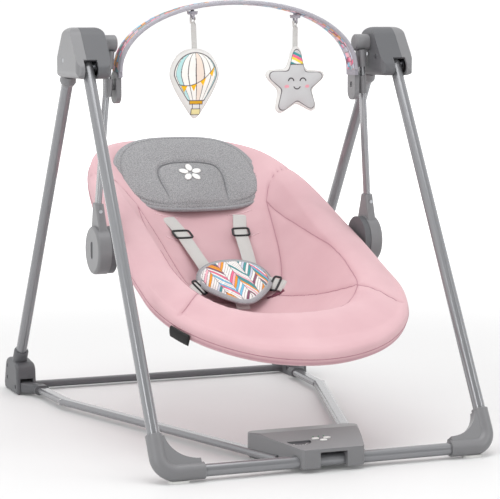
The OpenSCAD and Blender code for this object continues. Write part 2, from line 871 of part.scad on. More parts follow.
// Mouth of the sling: 1 where the hollow meets the padded rim, less inside
function mouth(x, s) = let (w = mouth_w + 0.1 * max(0, s - 260))
    s < sling_c
    ? pow(pow(abs(x) / w, 2.8) + pow((sling_c - s) / 207, 2.8), 1 / 2.8)
    : pow(pow(abs(x) / w, 3) + pow((s - sling_c) / 455, 3), 1 / 3);

// Height of the sling's top surface over the rim plane; the hollow runs out towards the head
function sling_n(x, s) = let (
        m = min(mouth(x, s), 1),
        depth = sling_depth * max(1 - 0.0022 * max(s - 170, 0), 0.15))
    rim_rise * pow(m, 8) - depth * (1 - pow(m, 2.3));

function sling_point(t, q, drop) =
    let (p = rim(t), x = q * p[0], s = sling_c + q * (p[1] - sling_c))
    seat_at([x, s, sling_n(x, s) - drop]);

rings = [0.05, 0.16, 0.28, 0.38, 0.47, 0.55, 0.61, 0.66, 0.72, 0.8, 0.9, 1];
steps = 56;

module seat_sling() {
    top = [for (q = rings, j = [0:steps - 1]) sling_point(turn_at(j, steps), q, 0)];
    low = [for (q = rings, j = [0:steps - 1])
        sling_point(turn_at(j, steps), q, sling_t)];
    color(PINK) polyhedron(points = concat(top, low), faces = grid_faces(len(rings), steps, true));
}

module seat_ring() {
    color(STEEL) {
        ring_solid();
        both() bar_x(seat_w - ring_inset, hub_y, hub_z, 10, hub_in - seat_w + ring_inset);
    }
}

ring_n = -12;
ring_pts = 48;
ring_sides = 8;

function ring_centre(j) = let (p = rim(turn_at(j + ring_pts, ring_pts), ring_inset)) [p[0], p[1], ring_n];

module ring_solid() {
    pts = [for (i = [0:ring_pts - 1]) let (
            c = ring_centre(i), b = ring_centre(i + 1) - ring_centre(i - 1),
            o = [b[1], -b[0], 0] / norm(b))
        each [for (k = [0:ring_sides - 1]) let (a = 360 * k / ring_sides)
            seat_at(c + ring_d / 2 * (cos(a) * o + sin(a) * [0, 0, 1]))]];
    faces = [for (i = [0:ring_pts - 1], k = [0:ring_sides - 1]) let (
            i2 = (i + 1) % ring_pts, k2 = (k + 1) % ring_sides)
        [i * ring_sides + k, i2 * ring_sides + k, i2 * ring_sides + k2, i * ring_sides + k2]];
    polyhedron(points = pts, faces = [for (f = faces) [f[3], f[2], f[1], f[0]]]);
}

module seat_hubs() {
    color(DARK) both() {
        bar_x(hub_in, hub_y, hub_z, hub_d - 2, hub_split - hub_in);
        bar_x(hub_split, hub_y, hub_z, boss_d, 4.2);
    }
}

// Head pillow: a crowned pad that follows the sling
pillow_c = [0, 451];
pillow_half = [130, 92];

// Height of the pillow's face: it spans the hollow as a stiff pad
function pillow_n(s) = let (u = s - 372) -20 + 0.25 * u + 0.0004 * u * u;

function pillow_xy(t, q) = [
    pillow_c[0] + q * pillow_half[0] * spow(cos(t), 0.85),
    pillow_c[1] + q * pillow_half[1] * spow(sin(t), 0.85)];

module head_pillow() {
    qs = [0.08, 0.3, 0.55, 0.75, 0.9, 1];
    m = 32;
    top = [for (q = qs, j = [0:m - 1]) let (p = pillow_xy(360 * j / m, q))
        seat_at([p[0], p[1], pillow_n(p[1]) - 9 * pow(q, 6)])];
    low = [for (q = qs, j = [0:m - 1]) let (p = pillow_xy(360 * j / m, q))
        seat_at([p[0], p[1], max(sling_n(p[0], p[1]) + 1, pillow_n(p[1]) - 22 + 9 * pow(q, 6))])];
    color(GREY_CLOTH) polyhedron(points = concat(top, low),
        faces = grid_faces(len(qs), m, true));
}

// A strap laid on the sling along the line a-b, lifted by h
module strap(a, b, h = 5, w = 25, t = 1.8, n = 8) {
    d = (b - a) / norm(b - a);
    o = [d[1], -d[0]] * w / 2;
    top = [for (i = [0:n], k = [-1, 1]) let (p = a + (b - a) * i / n + k * o)
        seat_at([p[0], p[1], sling_n(p[0], p[1]) + h + t])];
    low = [for (i = [0:n], k = [-1, 1]) let (p = a + (b - a) * i / n + k * o)
        seat_at([p[0], p[1], sling_n(p[0], p[1]) + h])];
    polyhedron(points = concat(top, low), faces = grid_faces(n + 1, 2, false));
}

shoulder_from = [70, 350];
shoulder_to = [36, 200];
waist_from = [102, 146];
waist_to = [44, 168];

module harness_webbing() {
    color(WHITE) both() {
        strap(shoulder_from, shoulder_to);
        strap(waist_from, waist_to, n = 3);
    }
}

module on_sling(p, h) {
    translate(seat_at([p[0], p[1], sling_n(p[0], p[1]) + h])) rotate([seat_tilt, 0, 0])
        children();
}

module strap_sliders() {
    color(BLACK) both() on_sling(shoulder_from + 0.3 * (shoulder_to - shoulder_from), 9.6)
        rotate([15.6, -13.5, -12.8]) difference() {
            translate([-17, -10, 0]) cube([34, 20, 2.5]);
            for (s = [-1, 1]) translate([-13.5, s * 5 - 2.2, -1]) cube([27, 4.4, 5]);
        }
}

buckle_at = [0, 164];

module harness_buckle() {
    color(BLACK) on_sling(buckle_at, 7) difference() {
        linear_extrude(13) oval_plate(54, 40, 9);
        translate([0, 0, 7.8]) linear_extrude(10) oval_plate(19, 19, 5);
    }
}

// Rectangle with round corners
module oval_plate(w, h, r) {
    square([w - 2 * r, h], center = true);
    square([w, h - 2 * r], center = true);
    for (x = [-1, 1], y = [-1, 1]) translate([x * (w / 2 - r), y * (h / 2 - r)]) circle(r = r);
}

module buckle_release() {
    color("#b3372f") on_sling(buckle_at, 7) translate([0, 0, 11.4]) linear_extrude(2.6)
        oval_plate(18.2, 18.2, 4.6);
}

// Crotch pad: a soft rounded triangle over the buckle, open below where the buckle sits
module crotch_pad() {
    color("#dfe7e8") on_sling([0, 160], 24) hull() {
        for (x = [-1, 1]) translate([x * 42, 30, 0]) cylinder(h = 10, r = 20, $fn = 24);
        translate([0, -32, 0]) cylinder(h = 10, r = 22, $fn = 24);
    }
}

// ---------------------------------------------------------------- toy bar

arch_e = 2 / 2.1;

function arch_at(t, inset) = [
    (arch_w - inset) * spow(cos(t), arch_e), arch_z + (arch_h - inset) * spow(sin(t), arch_e)];

module toy_bar() {
    n = 40;
    color("#d6d3dc") translate([0, arm_y(clip_z), 0]) rotate([90, 0, 0])
        linear_extrude(band_w, center = true) {
            difference() {
                polygon([for (i = [0:n]) arch_at(180 * i / n, 0)]);
                polygon(concat([[arch_w, arch_z - 1]], [for (i = [0:n]) arch_at(180 * i / n, band_t)],
                    [[-arch_w, arch_z - 1]]));
            }
            for (s = [-1, 1]) translate([s * (arch_w - band_t / 2), arch_z - 4])
                square([band_t, 9], center = true);
        }
    color("#c9c7cc") for (x = [balloon_x, star_x]) toy_hook(x);
}

function arch_height(x) = arch_z + (arch_h - band_t) *
    pow(1 - pow(abs(x) / (arch_w - band_t), 2.1), 1 / 2.1);

hook_r = 8;
hook_bore = 5;

// Height of the centre of the ring that a toy hangs in
function hook_z(x) = arch_height(x) - hook_r - 2;

module toy_hook(x) {
    difference() {
        union() {
            bar_x(x - 1.5, arm_y(clip_z), hook_z(x), 2 * hook_r, 3);
            translate([x - 1.5, arm_y(clip_z) - 5, hook_z(x)]) cube([3, 10, hook_r + 3]);
        }
        bar_x(x - 5, arm_y(clip_z), hook_z(x), 2 * hook_bore, 10);
    }
}

// Oval end caps of the toy bar, turning on the studs of the clips
module toy_bar_ends() {
    color(PLASTIC) both() difference() {
        translate([214 - 0.2, arm_y(clip_z), clip_z]) rotate([0, 90, 0]) linear_extrude(9)
                oval_x(54, 31);
        bar_x(210, arm_y(clip_z), clip_z, 10 + 2 * fit, 20);
        translate([arch_w - band_t - 0.2, arm_y(clip_z) - band_w / 2, arch_z - 8.6])
            cube([band_t + 0.4, band_w, 30]);
    }
}

module oval_x(h, w) {
    square([h - w, w], center = true);
    for (s = [-1, 1]) translate([s * (h - w) / 2, 0]) circle(d = w);
}

// Hanging toys: a padded body on a ribbon, hung in its hook
module ribbon(x, low) {
    translate([x, arm_y(clip_z), hook_z(x)]) {
        translate([-3, -2.5, -4.2]) cube([6, 5, 1.2]);
        for (s = [-1, 1]) translate([s * 2.4 - 0.6, -2.5, -10]) cube([1.2, 5, 7]);
        translate([-3, -2.5, -10]) cube([6, 5, 1.2]);
        translate([-5, -0.8, low - hook_z(x)]) cube([10, 1.6, hook_z(x) - low - 9.4]);
    }
}

module balloon_toy() {
    y = arm_y(clip_z);
    color("#f3f1ee") {
        ribbon(balloon_x, 640);
        hull() {
            translate([balloon_x, y, 604]) rotate([90, 0, 0])
                round_slab_c(26, 8) circle(r = 42, $fn = 32);
            translate([balloon_x, y, 546]) cube([26, 14, 26], center = true);
        }
    }
}

// A round slab centred on its thickness
module round_slab_c(len, edge) {
    translate([0, 0, -len / 2]) round_slab(len, edge) children();
}

module star_toy() {
    y = arm_y(clip_z);
    color("#d9d9d9") {
        ribbon(star_x, star_z + 44);
        translate([star_x, y + 13, star_z]) rotate([90, 0, 0]) linear_extrude(26)
            polygon([for (i = [0:9]) let (r = i % 2 == 0 ? 52 : 32)
                r * [sin(36 * i), cos(36 * i)]]);
    }
}

// ---------------------------------------------------------------- screws

module frame_screws() {
    color("silver") both() {
        bar_x(head_out - 1.8, swing_y + 20, 632, 8, 1.6);
        for (p = head_screws) bar_x(head_in - 0.6, p[0], p[1], 6.4, 1.5);
        for (z = [24, 46]) bar_x(foot_out - 2.8, foot_front + 34, z, 6.8, 1.6);
    }
}

// ---------------------------------------------------------------- nodes

head_outer_shell(-1);  // head_outer_shell_left
head_outer_shell(1);  // head_outer_shell_right
head_inner_shell(-1);  // head_inner_shell_left
head_inner_shell(1);  // head_inner_shell_right
head_brackets();
rear_leg(-1);  // rear_leg_left
rear_leg(1);  // rear_leg_right
rear_foot(-1);  // rear_foot_left
rear_foot(1);  // rear_foot_right
rear_crossbar();
hinge_pins();
swing_bearings();
drive_coil();
frame_screws();
front_leg(-1);  // front_leg_left
front_leg(1);  // front_leg_right
front_crossbar();
corner_sleeve(-1);  // corner_sleeve_left
corner_sleeve(1);  // corner_sleeve_right
front_foot_pads();
base_tube(-1);  // base_tube_left
base_tube(1);  // base_tube_right
base_necks();
control_upper_shell();
control_lower_shell();
battery_cover();
circuit_board();
dc_socket();
control_screws();
speed_dial();
timer_button();
melody_button();
power_button();
volume_wheel();
swing_arm(-1);  // swing_arm_left
swing_arm(1);  // swing_arm_right
arm_hub(-1);  // arm_hub_left
arm_hub(1);  // arm_hub_right
swing_shafts();
drive_magnet();
recline_socket(-1);  // recline_socket_left
recline_socket(1);  // recline_socket_right
toy_bar_clips();
recline_button(-1);  // recline_button_left
recline_button(1);  // recline_button_right
snap_button(-1);  // snap_button_left
snap_button(1);  // snap_button_right
seat_ring();
seat_hubs();
seat_sling();
head_pillow();
harness_webbing();
strap_sliders();
harness_buckle();
buckle_release();
crotch_pad();
toy_bar();
toy_bar_ends();
balloon_toy();
star_toy();
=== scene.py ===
"""Baby swing: soft goods, finishes, floor, light and camera around the CAD frame.

Lengths in the piece functions are in millimetres in the row frame (X across, +Y to the back, +Z up);
new_mesh turns them into metres. The seat has its own frame: x across, s along the rim towards the head,
n up from the rim plane.
"""

import json

import bpy
import numpy as np
from mathutils import Matrix, Vector


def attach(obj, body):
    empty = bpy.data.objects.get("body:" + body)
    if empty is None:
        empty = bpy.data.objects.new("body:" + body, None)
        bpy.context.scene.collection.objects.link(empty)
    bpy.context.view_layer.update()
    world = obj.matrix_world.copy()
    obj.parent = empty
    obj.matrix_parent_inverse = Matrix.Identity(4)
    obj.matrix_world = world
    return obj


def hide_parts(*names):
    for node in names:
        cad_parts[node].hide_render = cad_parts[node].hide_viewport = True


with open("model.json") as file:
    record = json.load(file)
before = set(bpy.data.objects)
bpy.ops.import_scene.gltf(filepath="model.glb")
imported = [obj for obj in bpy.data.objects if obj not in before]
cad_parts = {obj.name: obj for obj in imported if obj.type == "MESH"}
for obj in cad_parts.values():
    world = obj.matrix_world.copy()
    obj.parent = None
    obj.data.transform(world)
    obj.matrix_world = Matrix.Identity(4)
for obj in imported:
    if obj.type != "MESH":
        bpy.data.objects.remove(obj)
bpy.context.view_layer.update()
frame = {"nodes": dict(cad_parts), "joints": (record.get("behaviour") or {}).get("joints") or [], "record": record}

bl_info = {
    "name": "Baby swing",
    "version": (1, 0, 0),
    "blender": (4, 5, 0),
    "location": "View3D > Sidebar > Swing",
    "description": "Builds the soft goods, finishes and studio of a baby swing around its CAD frame",
    "category": "Object",
}

JOINTS = {j["name"]: j for j in frame["joints"]}
HUB = 1000 * np.array(JOINTS["seat_recline"]["pos_m"], float)
TILT = np.radians(20.9)
SEAT_0 = HUB + np.array([0.0, -175.0, -54.0])
CLIP = 1000 * np.array(JOINTS["toy_bar_tilt"]["pos_m"], float)

# ------------------------------------------------------------------ colours and shader helpers


def linear(code):
    """sRGB hex code to a linear RGBA colour."""
    c = np.array([int(code[i : i + 2], 16) for i in (1, 3, 5)]) / 255
    c = np.where(c <= 0.04045, c / 12.92, ((c + 0.055) / 1.055) ** 2.4)
    return (*c.tolist(), 1.0)


def add(tree, kind, inputs=None, **settings):
    """Adds a shader node. inputs maps a socket's name or number to a value or to another node's socket."""
    n = tree.nodes.new(kind)
    for k, v in settings.items():
        setattr(n, k, v)
    for k, v in (inputs or {}).items():
        if isinstance(v, bpy.types.NodeSocket):
            tree.links.new(v, n.inputs[k])
        else:
            n.inputs[k].default_value = v
    return n


def material(name, colour, rough, metallic=0.0, ior=1.46, sheen=0.0, coat=0.0):
    """A new material and its tree and shader node, with constants on the shader's own sockets."""
    m = bpy.data.materials.new(name)
    m.use_nodes = True
    tree = m.node_tree
    shader = tree.nodes["Principled BSDF"]
    for k, v in {
        "Base Color": linear(colour),
        "Roughness": rough,
        "Metallic": metallic,
        "IOR": ior,
        "Sheen Weight": sheen,
        "Coat Weight": coat,
    }.items():
        shader.inputs[k].default_value = v
    return m, tree, shader


def grain(tree, shader, size_mm, height_mm, detail=2.0):
    """Fine bumps of a given size and height from a noise in object coordinates."""
    where = add(tree, "ShaderNodeTexCoord")
    noise = add(
        tree,
        "ShaderNodeTexNoise",
        {"Vector": where.outputs["Object"], "Scale": 1000 / size_mm, "Detail": detail},
    )
    bump = add(
        tree,
        "ShaderNodeBump",
        {"Height": noise.outputs[0], "Distance": height_mm / 1000, "Strength": 0.6},
    )
    tree.links.new(bump.outputs[0], shader.inputs["Normal"])
    return noise


def mottled(tree, shader, low, high, size_mm, detail=3.0, contrast=(0.35, 0.65)):
    """Base colour that wanders between two shades."""
    where = add(tree, "ShaderNodeTexCoord")
    noise = add(
        tree,
        "ShaderNodeTexNoise",
        {"Vector": where.outputs["Object"], "Scale": 1000 / size_mm, "Detail": detail},
    )
    ramp = add(tree, "ShaderNodeValToRGB", {"Fac": noise.outputs[0]})
    for stop, place, shade in zip(
        ramp.color_ramp.elements, contrast, (linear(low), linear(high))
    ):
        stop.position = place
        stop.color = shade
    tree.links.new(ramp.outputs[0], shader.inputs["Base Color"])
    return ramp


def cloth(name, low, high, size_mm, weave_mm, lift_mm, rough=0.9, sheen=0.12):
    """Woven cloth: two close shades and a fine weave that stands up from the surface."""
    m, tree, shader = material(name, high, rough, ior=1.5, sheen=sheen)
    mottled(tree, shader, low, high, size_mm)
    grain(tree, shader, weave_mm, lift_mm)
    return m


def seamed(name, low, high, dark, size_mm, weave_mm, lift_mm):
    """Cloth that darkens in its seams, where the mesh attribute seam is near 1."""
    m, tree, shader = material(name, high, 0.88, ior=1.5, sheen=0.12)
    ramp = mottled(tree, shader, low, high, size_mm)
    seam = add(tree, "ShaderNodeAttribute", attribute_name="seam")
    mix = add(
        tree,
        "ShaderNodeMix",
        {0: seam.outputs["Fac"], 6: ramp.outputs[0], 7: linear(dark)},
        data_type="RGBA",
    )
    tree.links.new(mix.outputs[2], shader.inputs["Base Color"])
    grain(tree, shader, weave_mm, lift_mm)
    return m


def printed(name, weave_mm=0.6, lift_mm=0.12, rough=0.85):
    """Printed cloth: its colours are in the mesh attribute print, over a fine weave."""
    m, tree, shader = material(name, "#ffffff", rough, ior=1.5, sheen=0.2)
    ink = add(tree, "ShaderNodeAttribute", attribute_name="print")
    tree.links.new(ink.outputs["Color"], shader.inputs["Base Color"])
    grain(tree, shader, weave_mm, lift_mm)
    return m


def ribbed(name, colour, dark, pitch_mm):
    """Webbing: crosswise ribs in the first UV map, whose units are metres."""
    m, tree, shader = material(name, colour, 0.75, ior=1.5, sheen=0.2)
    uv = add(tree, "ShaderNodeUVMap", uv_map="UVMap")
    wave = add(
        tree,
        "ShaderNodeTexWave",
        {"Vector": uv.outputs[0], "Scale": 314 / pitch_mm, "Distortion": 0.4},
        bands_direction="Y",
    )
    mix = add(
        tree,
        "ShaderNodeMix",
        {0: wave.outputs["Fac"], 6: linear(dark), 7: linear(colour)},
        data_type="RGBA",
    )
    tree.links.new(mix.outputs[2], shader.inputs["Base Color"])
    bump = add(
        tree,
        "ShaderNodeBump",
        {"Height": wave.outputs["Fac"], "Distance": 0.0003, "Strength": 0.5},
    )
    tree.links.new(bump.outputs[0], shader.inputs["Normal"])
    return m


def hard(name, colour, rough, size_mm, lift_mm, **more):
    """Moulded, painted or plated surface with a fine grain."""
    m, tree, shader = material(name, colour, rough, **more)
    grain(tree, shader, size_mm, lift_mm)
    return m


MATERIALS = {}


def make_materials():
    """All finishes, named for the real material."""
    MATERIALS.update(
        # satin paint with metal flake: bright streaks along every tube
        tube_paint=hard("steel_tube_grey_satin_paint", "#8e8f92", 0.24, 1.6, 0.003, metallic=0.5, coat=0.5),
        # plated steel: cool, sharper highlights on pins, shafts and screws
        zinc=hard("steel_zinc_plated", "#b4b6ba", 0.32, 0.8, 0.01, metallic=1.0),
        # main mouldings: soft even grey with a fine spark-eroded grain
        grey=hard("abs_mid_grey_fine_grain", "#7e7e80", 0.34, 0.5, 0.02),
        # darker mouldings: inner halves, feet, lower shell
        dark=hard("abs_dark_grey_fine_grain", "#5f6063", 0.45, 0.5, 0.03),
        # buckle, sliders and socket: near-black with a soft shine
        black=hard("acetal_black_satin", "#1d1d20", 0.38, 0.6, 0.01),
        # keys and bearing bushes
        white=hard("abs_white_satin", "#f2f2ef", 0.35, 0.6, 0.01),
        red=hard("acetal_red_satin", "#b3372f", 0.4, 0.6, 0.01),
        pads=hard("tpe_white_matte", "#e4e4e1", 0.7, 0.8, 0.03),
        copper=hard("copper_wire_enamelled", "#b5602c", 0.3, 0.35, 0.06, metallic=0.9),
        board=hard("circuit_board_green_mask", "#1f6b40", 0.3, 0.8, 0.01, coat=0.4),
        # seat cloth: pale pink, slightly darker in the seams
        pink=seamed("polyester_twill_pale_pink", "#d2aab0", "#d8b2b7", "#bf929b", 90, 0.7, 0.14),
        pink_thread=cloth("thread_dusty_pink", "#ae7f89", "#b98a93", 3, 0.3, 0.05, 0.7, 0.0),
        # slot binding: paler than the sling
        pale_thread=cloth("thread_pale_pink", "#e0bcc2", "#e8c8cd", 3, 0.3, 0.05, 0.6, 0.0),
        # pillow cloth: salt-and-pepper yarn
        melange=cloth("jersey_grey_melange", "#7c7c7e", "#a9a9ab", 1.5, 0.7, 0.2),
        binding=cloth("binding_tape_grey", "#8d8e91", "#a2a3a6", 2, 0.5, 0.12),
        grey_thread=cloth("thread_grey", "#77777a", "#85858a", 3, 0.3, 0.05, 0.6),
        motif=cloth("embroidery_white", "#eeeeec", "#fafaf8", 2, 0.4, 0.15, 0.6),
        webbing=ribbed("polyester_webbing_white", "#d3d2cf", "#c0bfbc", 1.6),
        # edge of the bar cover and its cuffs
        bar_edge=cloth("binding_tape_lilac_grey", "#97959d", "#a7a5ad", 3, 0.5, 0.1),
        # painted shade: a dark maroon finish for the strips that stand in for the shade inside the waist strap
        # slots
        maroon=cloth("lining_tape_maroon", "#6b3444", "#7c4050", 3, 0.5, 0.1),
        tag=cloth("woven_label_black", "#0c0c0d", "#141415", 3, 0.3, 0.05, 0.6, 0.0),
        printed=printed("printed_cotton_canvas"),
        plush=printed("printed_velour", 0.9, 0.25, 0.95),
        # status lights: small green lenses
        green_lamp=hard("acrylic_green_clear", "#2fa05a", 0.15, 1.0, 0.001, coat=0.6),
        # studio floor
        floor=hard("studio_floor_white", "#d9d9d9", 0.6, 40, 0.02),
    )
    # the floor takes soft shadows near the swing and glows white towards the horizon
    tree = MATERIALS["floor"].node_tree
    shader = tree.nodes["Principled BSDF"]
    shader.inputs["Emission Color"].default_value = linear("#ffffff")
    place = add(tree, "ShaderNodeTexCoord")
    reach = add(tree, "ShaderNodeVectorMath", {0: place.outputs["Object"]}, operation="LENGTH")
    glow = add(
        tree,
        "ShaderNodeMapRange",
        {0: reach.outputs["Value"], 1: 0.7, 2: 3.5, 3: 0.08, 4: 0.8},
        interpolation_type="SMOOTHSTEP",
    )
    tree.links.new(glow.outputs[0], shader.inputs["Emission Strength"])


# which finish each slot of the record takes
SLOT_FINISH = {
    "painted_steel_satin_grey": "tube_paint",
    "zinc_plated_steel": "zinc",
    "moulded_plastic_mid_grey": "grey",
    "moulded_plastic_dark_grey": "dark",
    "black_plastic": "black",
    "white_plastic": "white",
    "red_plastic": "red",
    "white_rubber": "pads",
    "copper_winding": "copper",
    "green_circuit_board": "board",
    "pink_seat_fabric": "pink",
    "grey_melange_fabric": "melange",
    "printed_fabric": "bar_edge",
    "white_webbing": "webbing",
    "toy_fabric": "bar_edge",
}

# ------------------------------------------------------------------ mesh helpers


def signed_volume(mesh):
    """Sum of the tetrahedra from the origin to every triangle: negative when the faces look inward."""
    mesh.calc_loop_triangles()
    corner = np.zeros(3 * len(mesh.loop_triangles), np.int32)
    mesh.loop_triangles.foreach_get("vertices", corner)
    place = np.zeros(3 * len(mesh.vertices), np.float32)
    mesh.vertices.foreach_get("co", place)
    a, b, c = place.reshape(-1, 3)[corner].reshape(-1, 3, 3).transpose(1, 0, 2).astype(float)
    return (a * np.cross(b, c)).sum() / 6


def new_mesh(name, points, faces, finish, uv=None, ink=None, seam=None):
    """One object from an array of points in millimetres and lists of faces. uv is per vertex, in metres."""
    mesh = bpy.data.meshes.new(name)
    mesh.from_pydata((np.asarray(points) / 1000).tolist(), [], faces)
    mesh.validate()
    mesh.polygons.foreach_set("use_smooth", np.ones(len(mesh.polygons), bool))
    if uv is not None:
        corner = np.zeros(len(mesh.loops), int)
        mesh.loops.foreach_get("vertex_index", corner)
        layer = mesh.uv_layers.new(name="UVMap")
        layer.data.foreach_set("uv", np.asarray(uv, np.float32)[corner].ravel())
    if ink is not None:
        layer = mesh.color_attributes.new("print", "FLOAT_COLOR", "POINT")
        layer.data.foreach_set("color", np.asarray(ink, np.float32).ravel())
    if seam is not None:
        layer = mesh.attributes.new("seam", "FLOAT", "POINT")
        layer.data.foreach_set("value", np.asarray(seam, np.float32).ravel())
    mesh.materials.append(MATERIALS[finish])
    mesh.update()
    if signed_volume(mesh) < 0:
        mesh.flip_normals()
        mesh.update()
    obj = bpy.data.objects.new(name, mesh)
    bpy.context.scene.collection.objects.link(obj)
    return obj


def grid_faces(rows, cols, loop_cols=True, loop_rows=False, first=0):
    """Quads of a grid whose columns, and rows if asked, close on themselves."""
    i, j = np.meshgrid(
        np.arange(rows if loop_rows else rows - 1),
        np.arange(cols if loop_cols else cols - 1),
        indexing="ij",
    )
    i, j = i.ravel(), j.ravel()
    a, b = first + i * cols + j, first + i * cols + (j + 1) % cols
    c, d = (
        first + (i + 1) % rows * cols + (j + 1) % cols,
        first + (i + 1) % rows * cols + j,
    )
    return np.stack([a, b, c, d], 1).tolist()


def closed_grid(top, low):
    """Points and faces of a body from two polar grids (rows from the middle to the edge, columns round it)
    that share their edge. The two middles are single points."""
    cols = top.shape[1]
    outer = [top[0].mean(0)[None], top[1:].reshape(-1, 3)]
    points = np.concatenate(outer + [low[1:-1][::-1].reshape(-1, 3), low[0].mean(0)[None]])
    total = (len(points) - 2) // cols
    last = len(points) - 1
    ring = 1 + (total - 1) * cols
    faces = [[0, 1 + (j + 1) % cols, 1 + j] for j in range(cols)]
    faces += grid_faces(total, cols, first=1)
    faces += [[ring + j, ring + (j + 1) % cols, last] for j in range(cols)]
    return points, faces


def closed_form(name, top, low, finish, ink=None, seam=None):
    """One object from two polar grids that share their edge, with a print or a seam value per point."""
    points, faces = closed_grid(top, low)
    if ink is not None:
        up, down = ink
        ink = np.concatenate(
            [up[0].mean(0)[None], up[1:].reshape(-1, 4)]
            + [down[1:-1][::-1].reshape(-1, 4), down[0].mean(0)[None]]
        )
    if seam is not None:
        up, down = seam
        seam = np.concatenate(
            [up[0, :1], up[1:].ravel(), down[1:-1][::-1].ravel(), down[0, :1]]
        )
    return new_mesh(name, points, faces, finish, ink=ink, seam=seam)


def unit(v):
    """Vectors scaled to length one along the last axis."""
    return v / np.maximum(np.linalg.norm(v, axis=-1, keepdims=True), 1e-9)


def along(path):
    """Unit direction of travel at each point of a path."""
    return unit(np.gradient(np.asarray(path, float), axis=0))


def resample(path, step):
    """The same path with points an even step apart."""
    path = np.asarray(path, float)
    d = np.r_[0, np.cumsum(np.linalg.norm(np.diff(path, axis=0), axis=1))]
    t = np.linspace(0, d[-1], max(int(d[-1] / step), 2) + 1)
    return np.stack([np.interp(t, d, path[:, k]) for k in range(3)], 1)


def sweep(name, path, normals, section, finish, closed=False):
    """Sweeps a closed cross-section (offsets along side and normal) down a path, with capped ends."""
    path, normals = np.asarray(path, float), unit(np.asarray(normals, float))
    go = along(path)
    if closed:
        go = unit(np.roll(path, -1, 0) - np.roll(path, 1, 0))
    side = unit(np.cross(go, normals))
    up = np.cross(side, go)
    sec = np.asarray(section, float)
    pts = (
        path[:, None]
        + sec[None, :, :1] * side[:, None]
        + sec[None, :, 1:] * up[:, None]
    )
    rows, cols = len(path), len(sec)
    faces = grid_faces(rows, cols, loop_rows=closed)
    if not closed:
        faces.append(list(range(cols))[::-1])
        faces.append([(rows - 1) * cols + j for j in range(cols)])
    d = np.r_[0, np.cumsum(np.linalg.norm(np.diff(path, axis=0), axis=1))] / 1000
    uv = np.stack(
        [np.tile(sec[:, 0] / 1000, rows), np.repeat(d, cols)],
        1,
    )
    return new_mesh(name, pts.reshape(-1, 3), faces, finish, uv=uv)


def flat_section(width, thick, n=5):
    """Cross-section of a strap: a thin rectangle with round edges."""
    a = np.linspace(-np.pi / 2, np.pi / 2, n)
    r = thick / 2
    right = np.stack([width / 2 - r + r * np.cos(a), r * np.sin(a)], 1)
    return np.concatenate([right, -right])


def round_section(r, n=8):
    """Cross-section of a thread or a piping."""
    a = np.linspace(0, 2 * np.pi, n, endpoint=False)
    return np.stack([r * np.cos(a), r * np.sin(a)], 1)


def stitches(name, paths, normals, finish, length=4.0, gap=2.2, r=0.45, lift=0.15):
    """A row of stitches along each path: spindles half sunk in the cloth."""
    ring = round_section(1.0, 6)
    prof = [(0.0, 0.25), (0.2, 0.9), (0.5, 1.0), (0.8, 0.9), (1.0, 0.25)]
    points, faces = [], []
    for path, normal in zip(paths, normals):
        path, normal = np.asarray(path, float), np.asarray(normal, float)
        d = np.r_[0, np.cumsum(np.linalg.norm(np.diff(path, axis=0), axis=1))]
        starts = np.arange(0, d[-1] - length, length + gap)

        def at(t, of):
            return np.stack([np.interp(t, d, of[:, k]) for k in range(3)], -1)

        a, b = at(starts, path), at(starts + length, path)
        up = unit(at(starts + length / 2, normal))
        go = unit(b - a)
        side = unit(np.cross(go, up))
        for k in range(len(starts)):
            first = sum(len(p) for p in points)
            rows = [
                a[k]
                + (b[k] - a[k]) * f
                + up[k] * lift
                + r * w * (ring[:, :1] * side[k] + ring[:, 1:] * up[k])
                for f, w in prof
            ]
            points.append(np.concatenate(rows))
            faces += grid_faces(len(prof), 6, first=first)
            faces.append([first + j for j in range(6)][::-1])
            faces.append([first + (len(prof) - 1) * 6 + j for j in range(6)])
    return new_mesh(name, np.concatenate(points), faces, finish)


def ripple(u, v, size, seed, octaves=3):
    """Smooth uneven waves between about -1 and 1: sines of seeded directions and phases."""
    rng = np.random.default_rng(seed)
    out = np.zeros(np.broadcast(u, v).shape)
    for o in range(octaves):
        for _ in range(4):
            a, ph = rng.uniform(0, 2 * np.pi, 2)
            k = 2 * np.pi / (size / 1.7**o) * rng.uniform(0.75, 1.3)
            out += (
                np.sin(k * (u * np.cos(a) + v * np.sin(a)) + ph)
                / (4 * 1.7**o)
                * 1.4
            )
    return out


def paint(shape, base):
    """An array of linear colours filled with one colour."""
    out = np.empty((*shape, 4))
    out[...] = linear(base)
    return out


def put(ink, mask, colour):
    """Colours the masked points; a mask between 0 and 1 blends."""
    m = np.clip(np.asarray(mask, float), 0, 1)[..., None]
    ink[...] = ink * (1 - m) + np.array(linear(colour)) * m


def edge_mask(distance, soft=0.35):
    """1 inside, 0 outside a signed distance in millimetres, with a soft edge."""
    return np.clip(0.5 - distance / (2 * soft), 0, 1)


# ------------------------------------------------------------------ seat surface

SLING_C = 110.0
SEAT_W, SEAT_FRONT, SEAT_BACK = 226.0, 229.0, 590.0
DEPTH = 104.0


def seat_at(x, s, n):
    """Seat coordinates to the row frame, in millimetres."""
    c, k = np.cos(TILT), np.sin(TILT)
    x, s, n = np.broadcast_arrays(x, s, n)
    return np.stack(
        [
            SEAT_0[0] + x,
            SEAT_0[1] + s * c - n * k,
            SEAT_0[2] + s * k + n * c,
        ],
        -1,
    )


SEAT_UP = np.array([0.0, -np.sin(TILT), np.cos(TILT)])
SEAT_ALONG = np.array([0.0, np.cos(TILT), np.sin(TILT)])


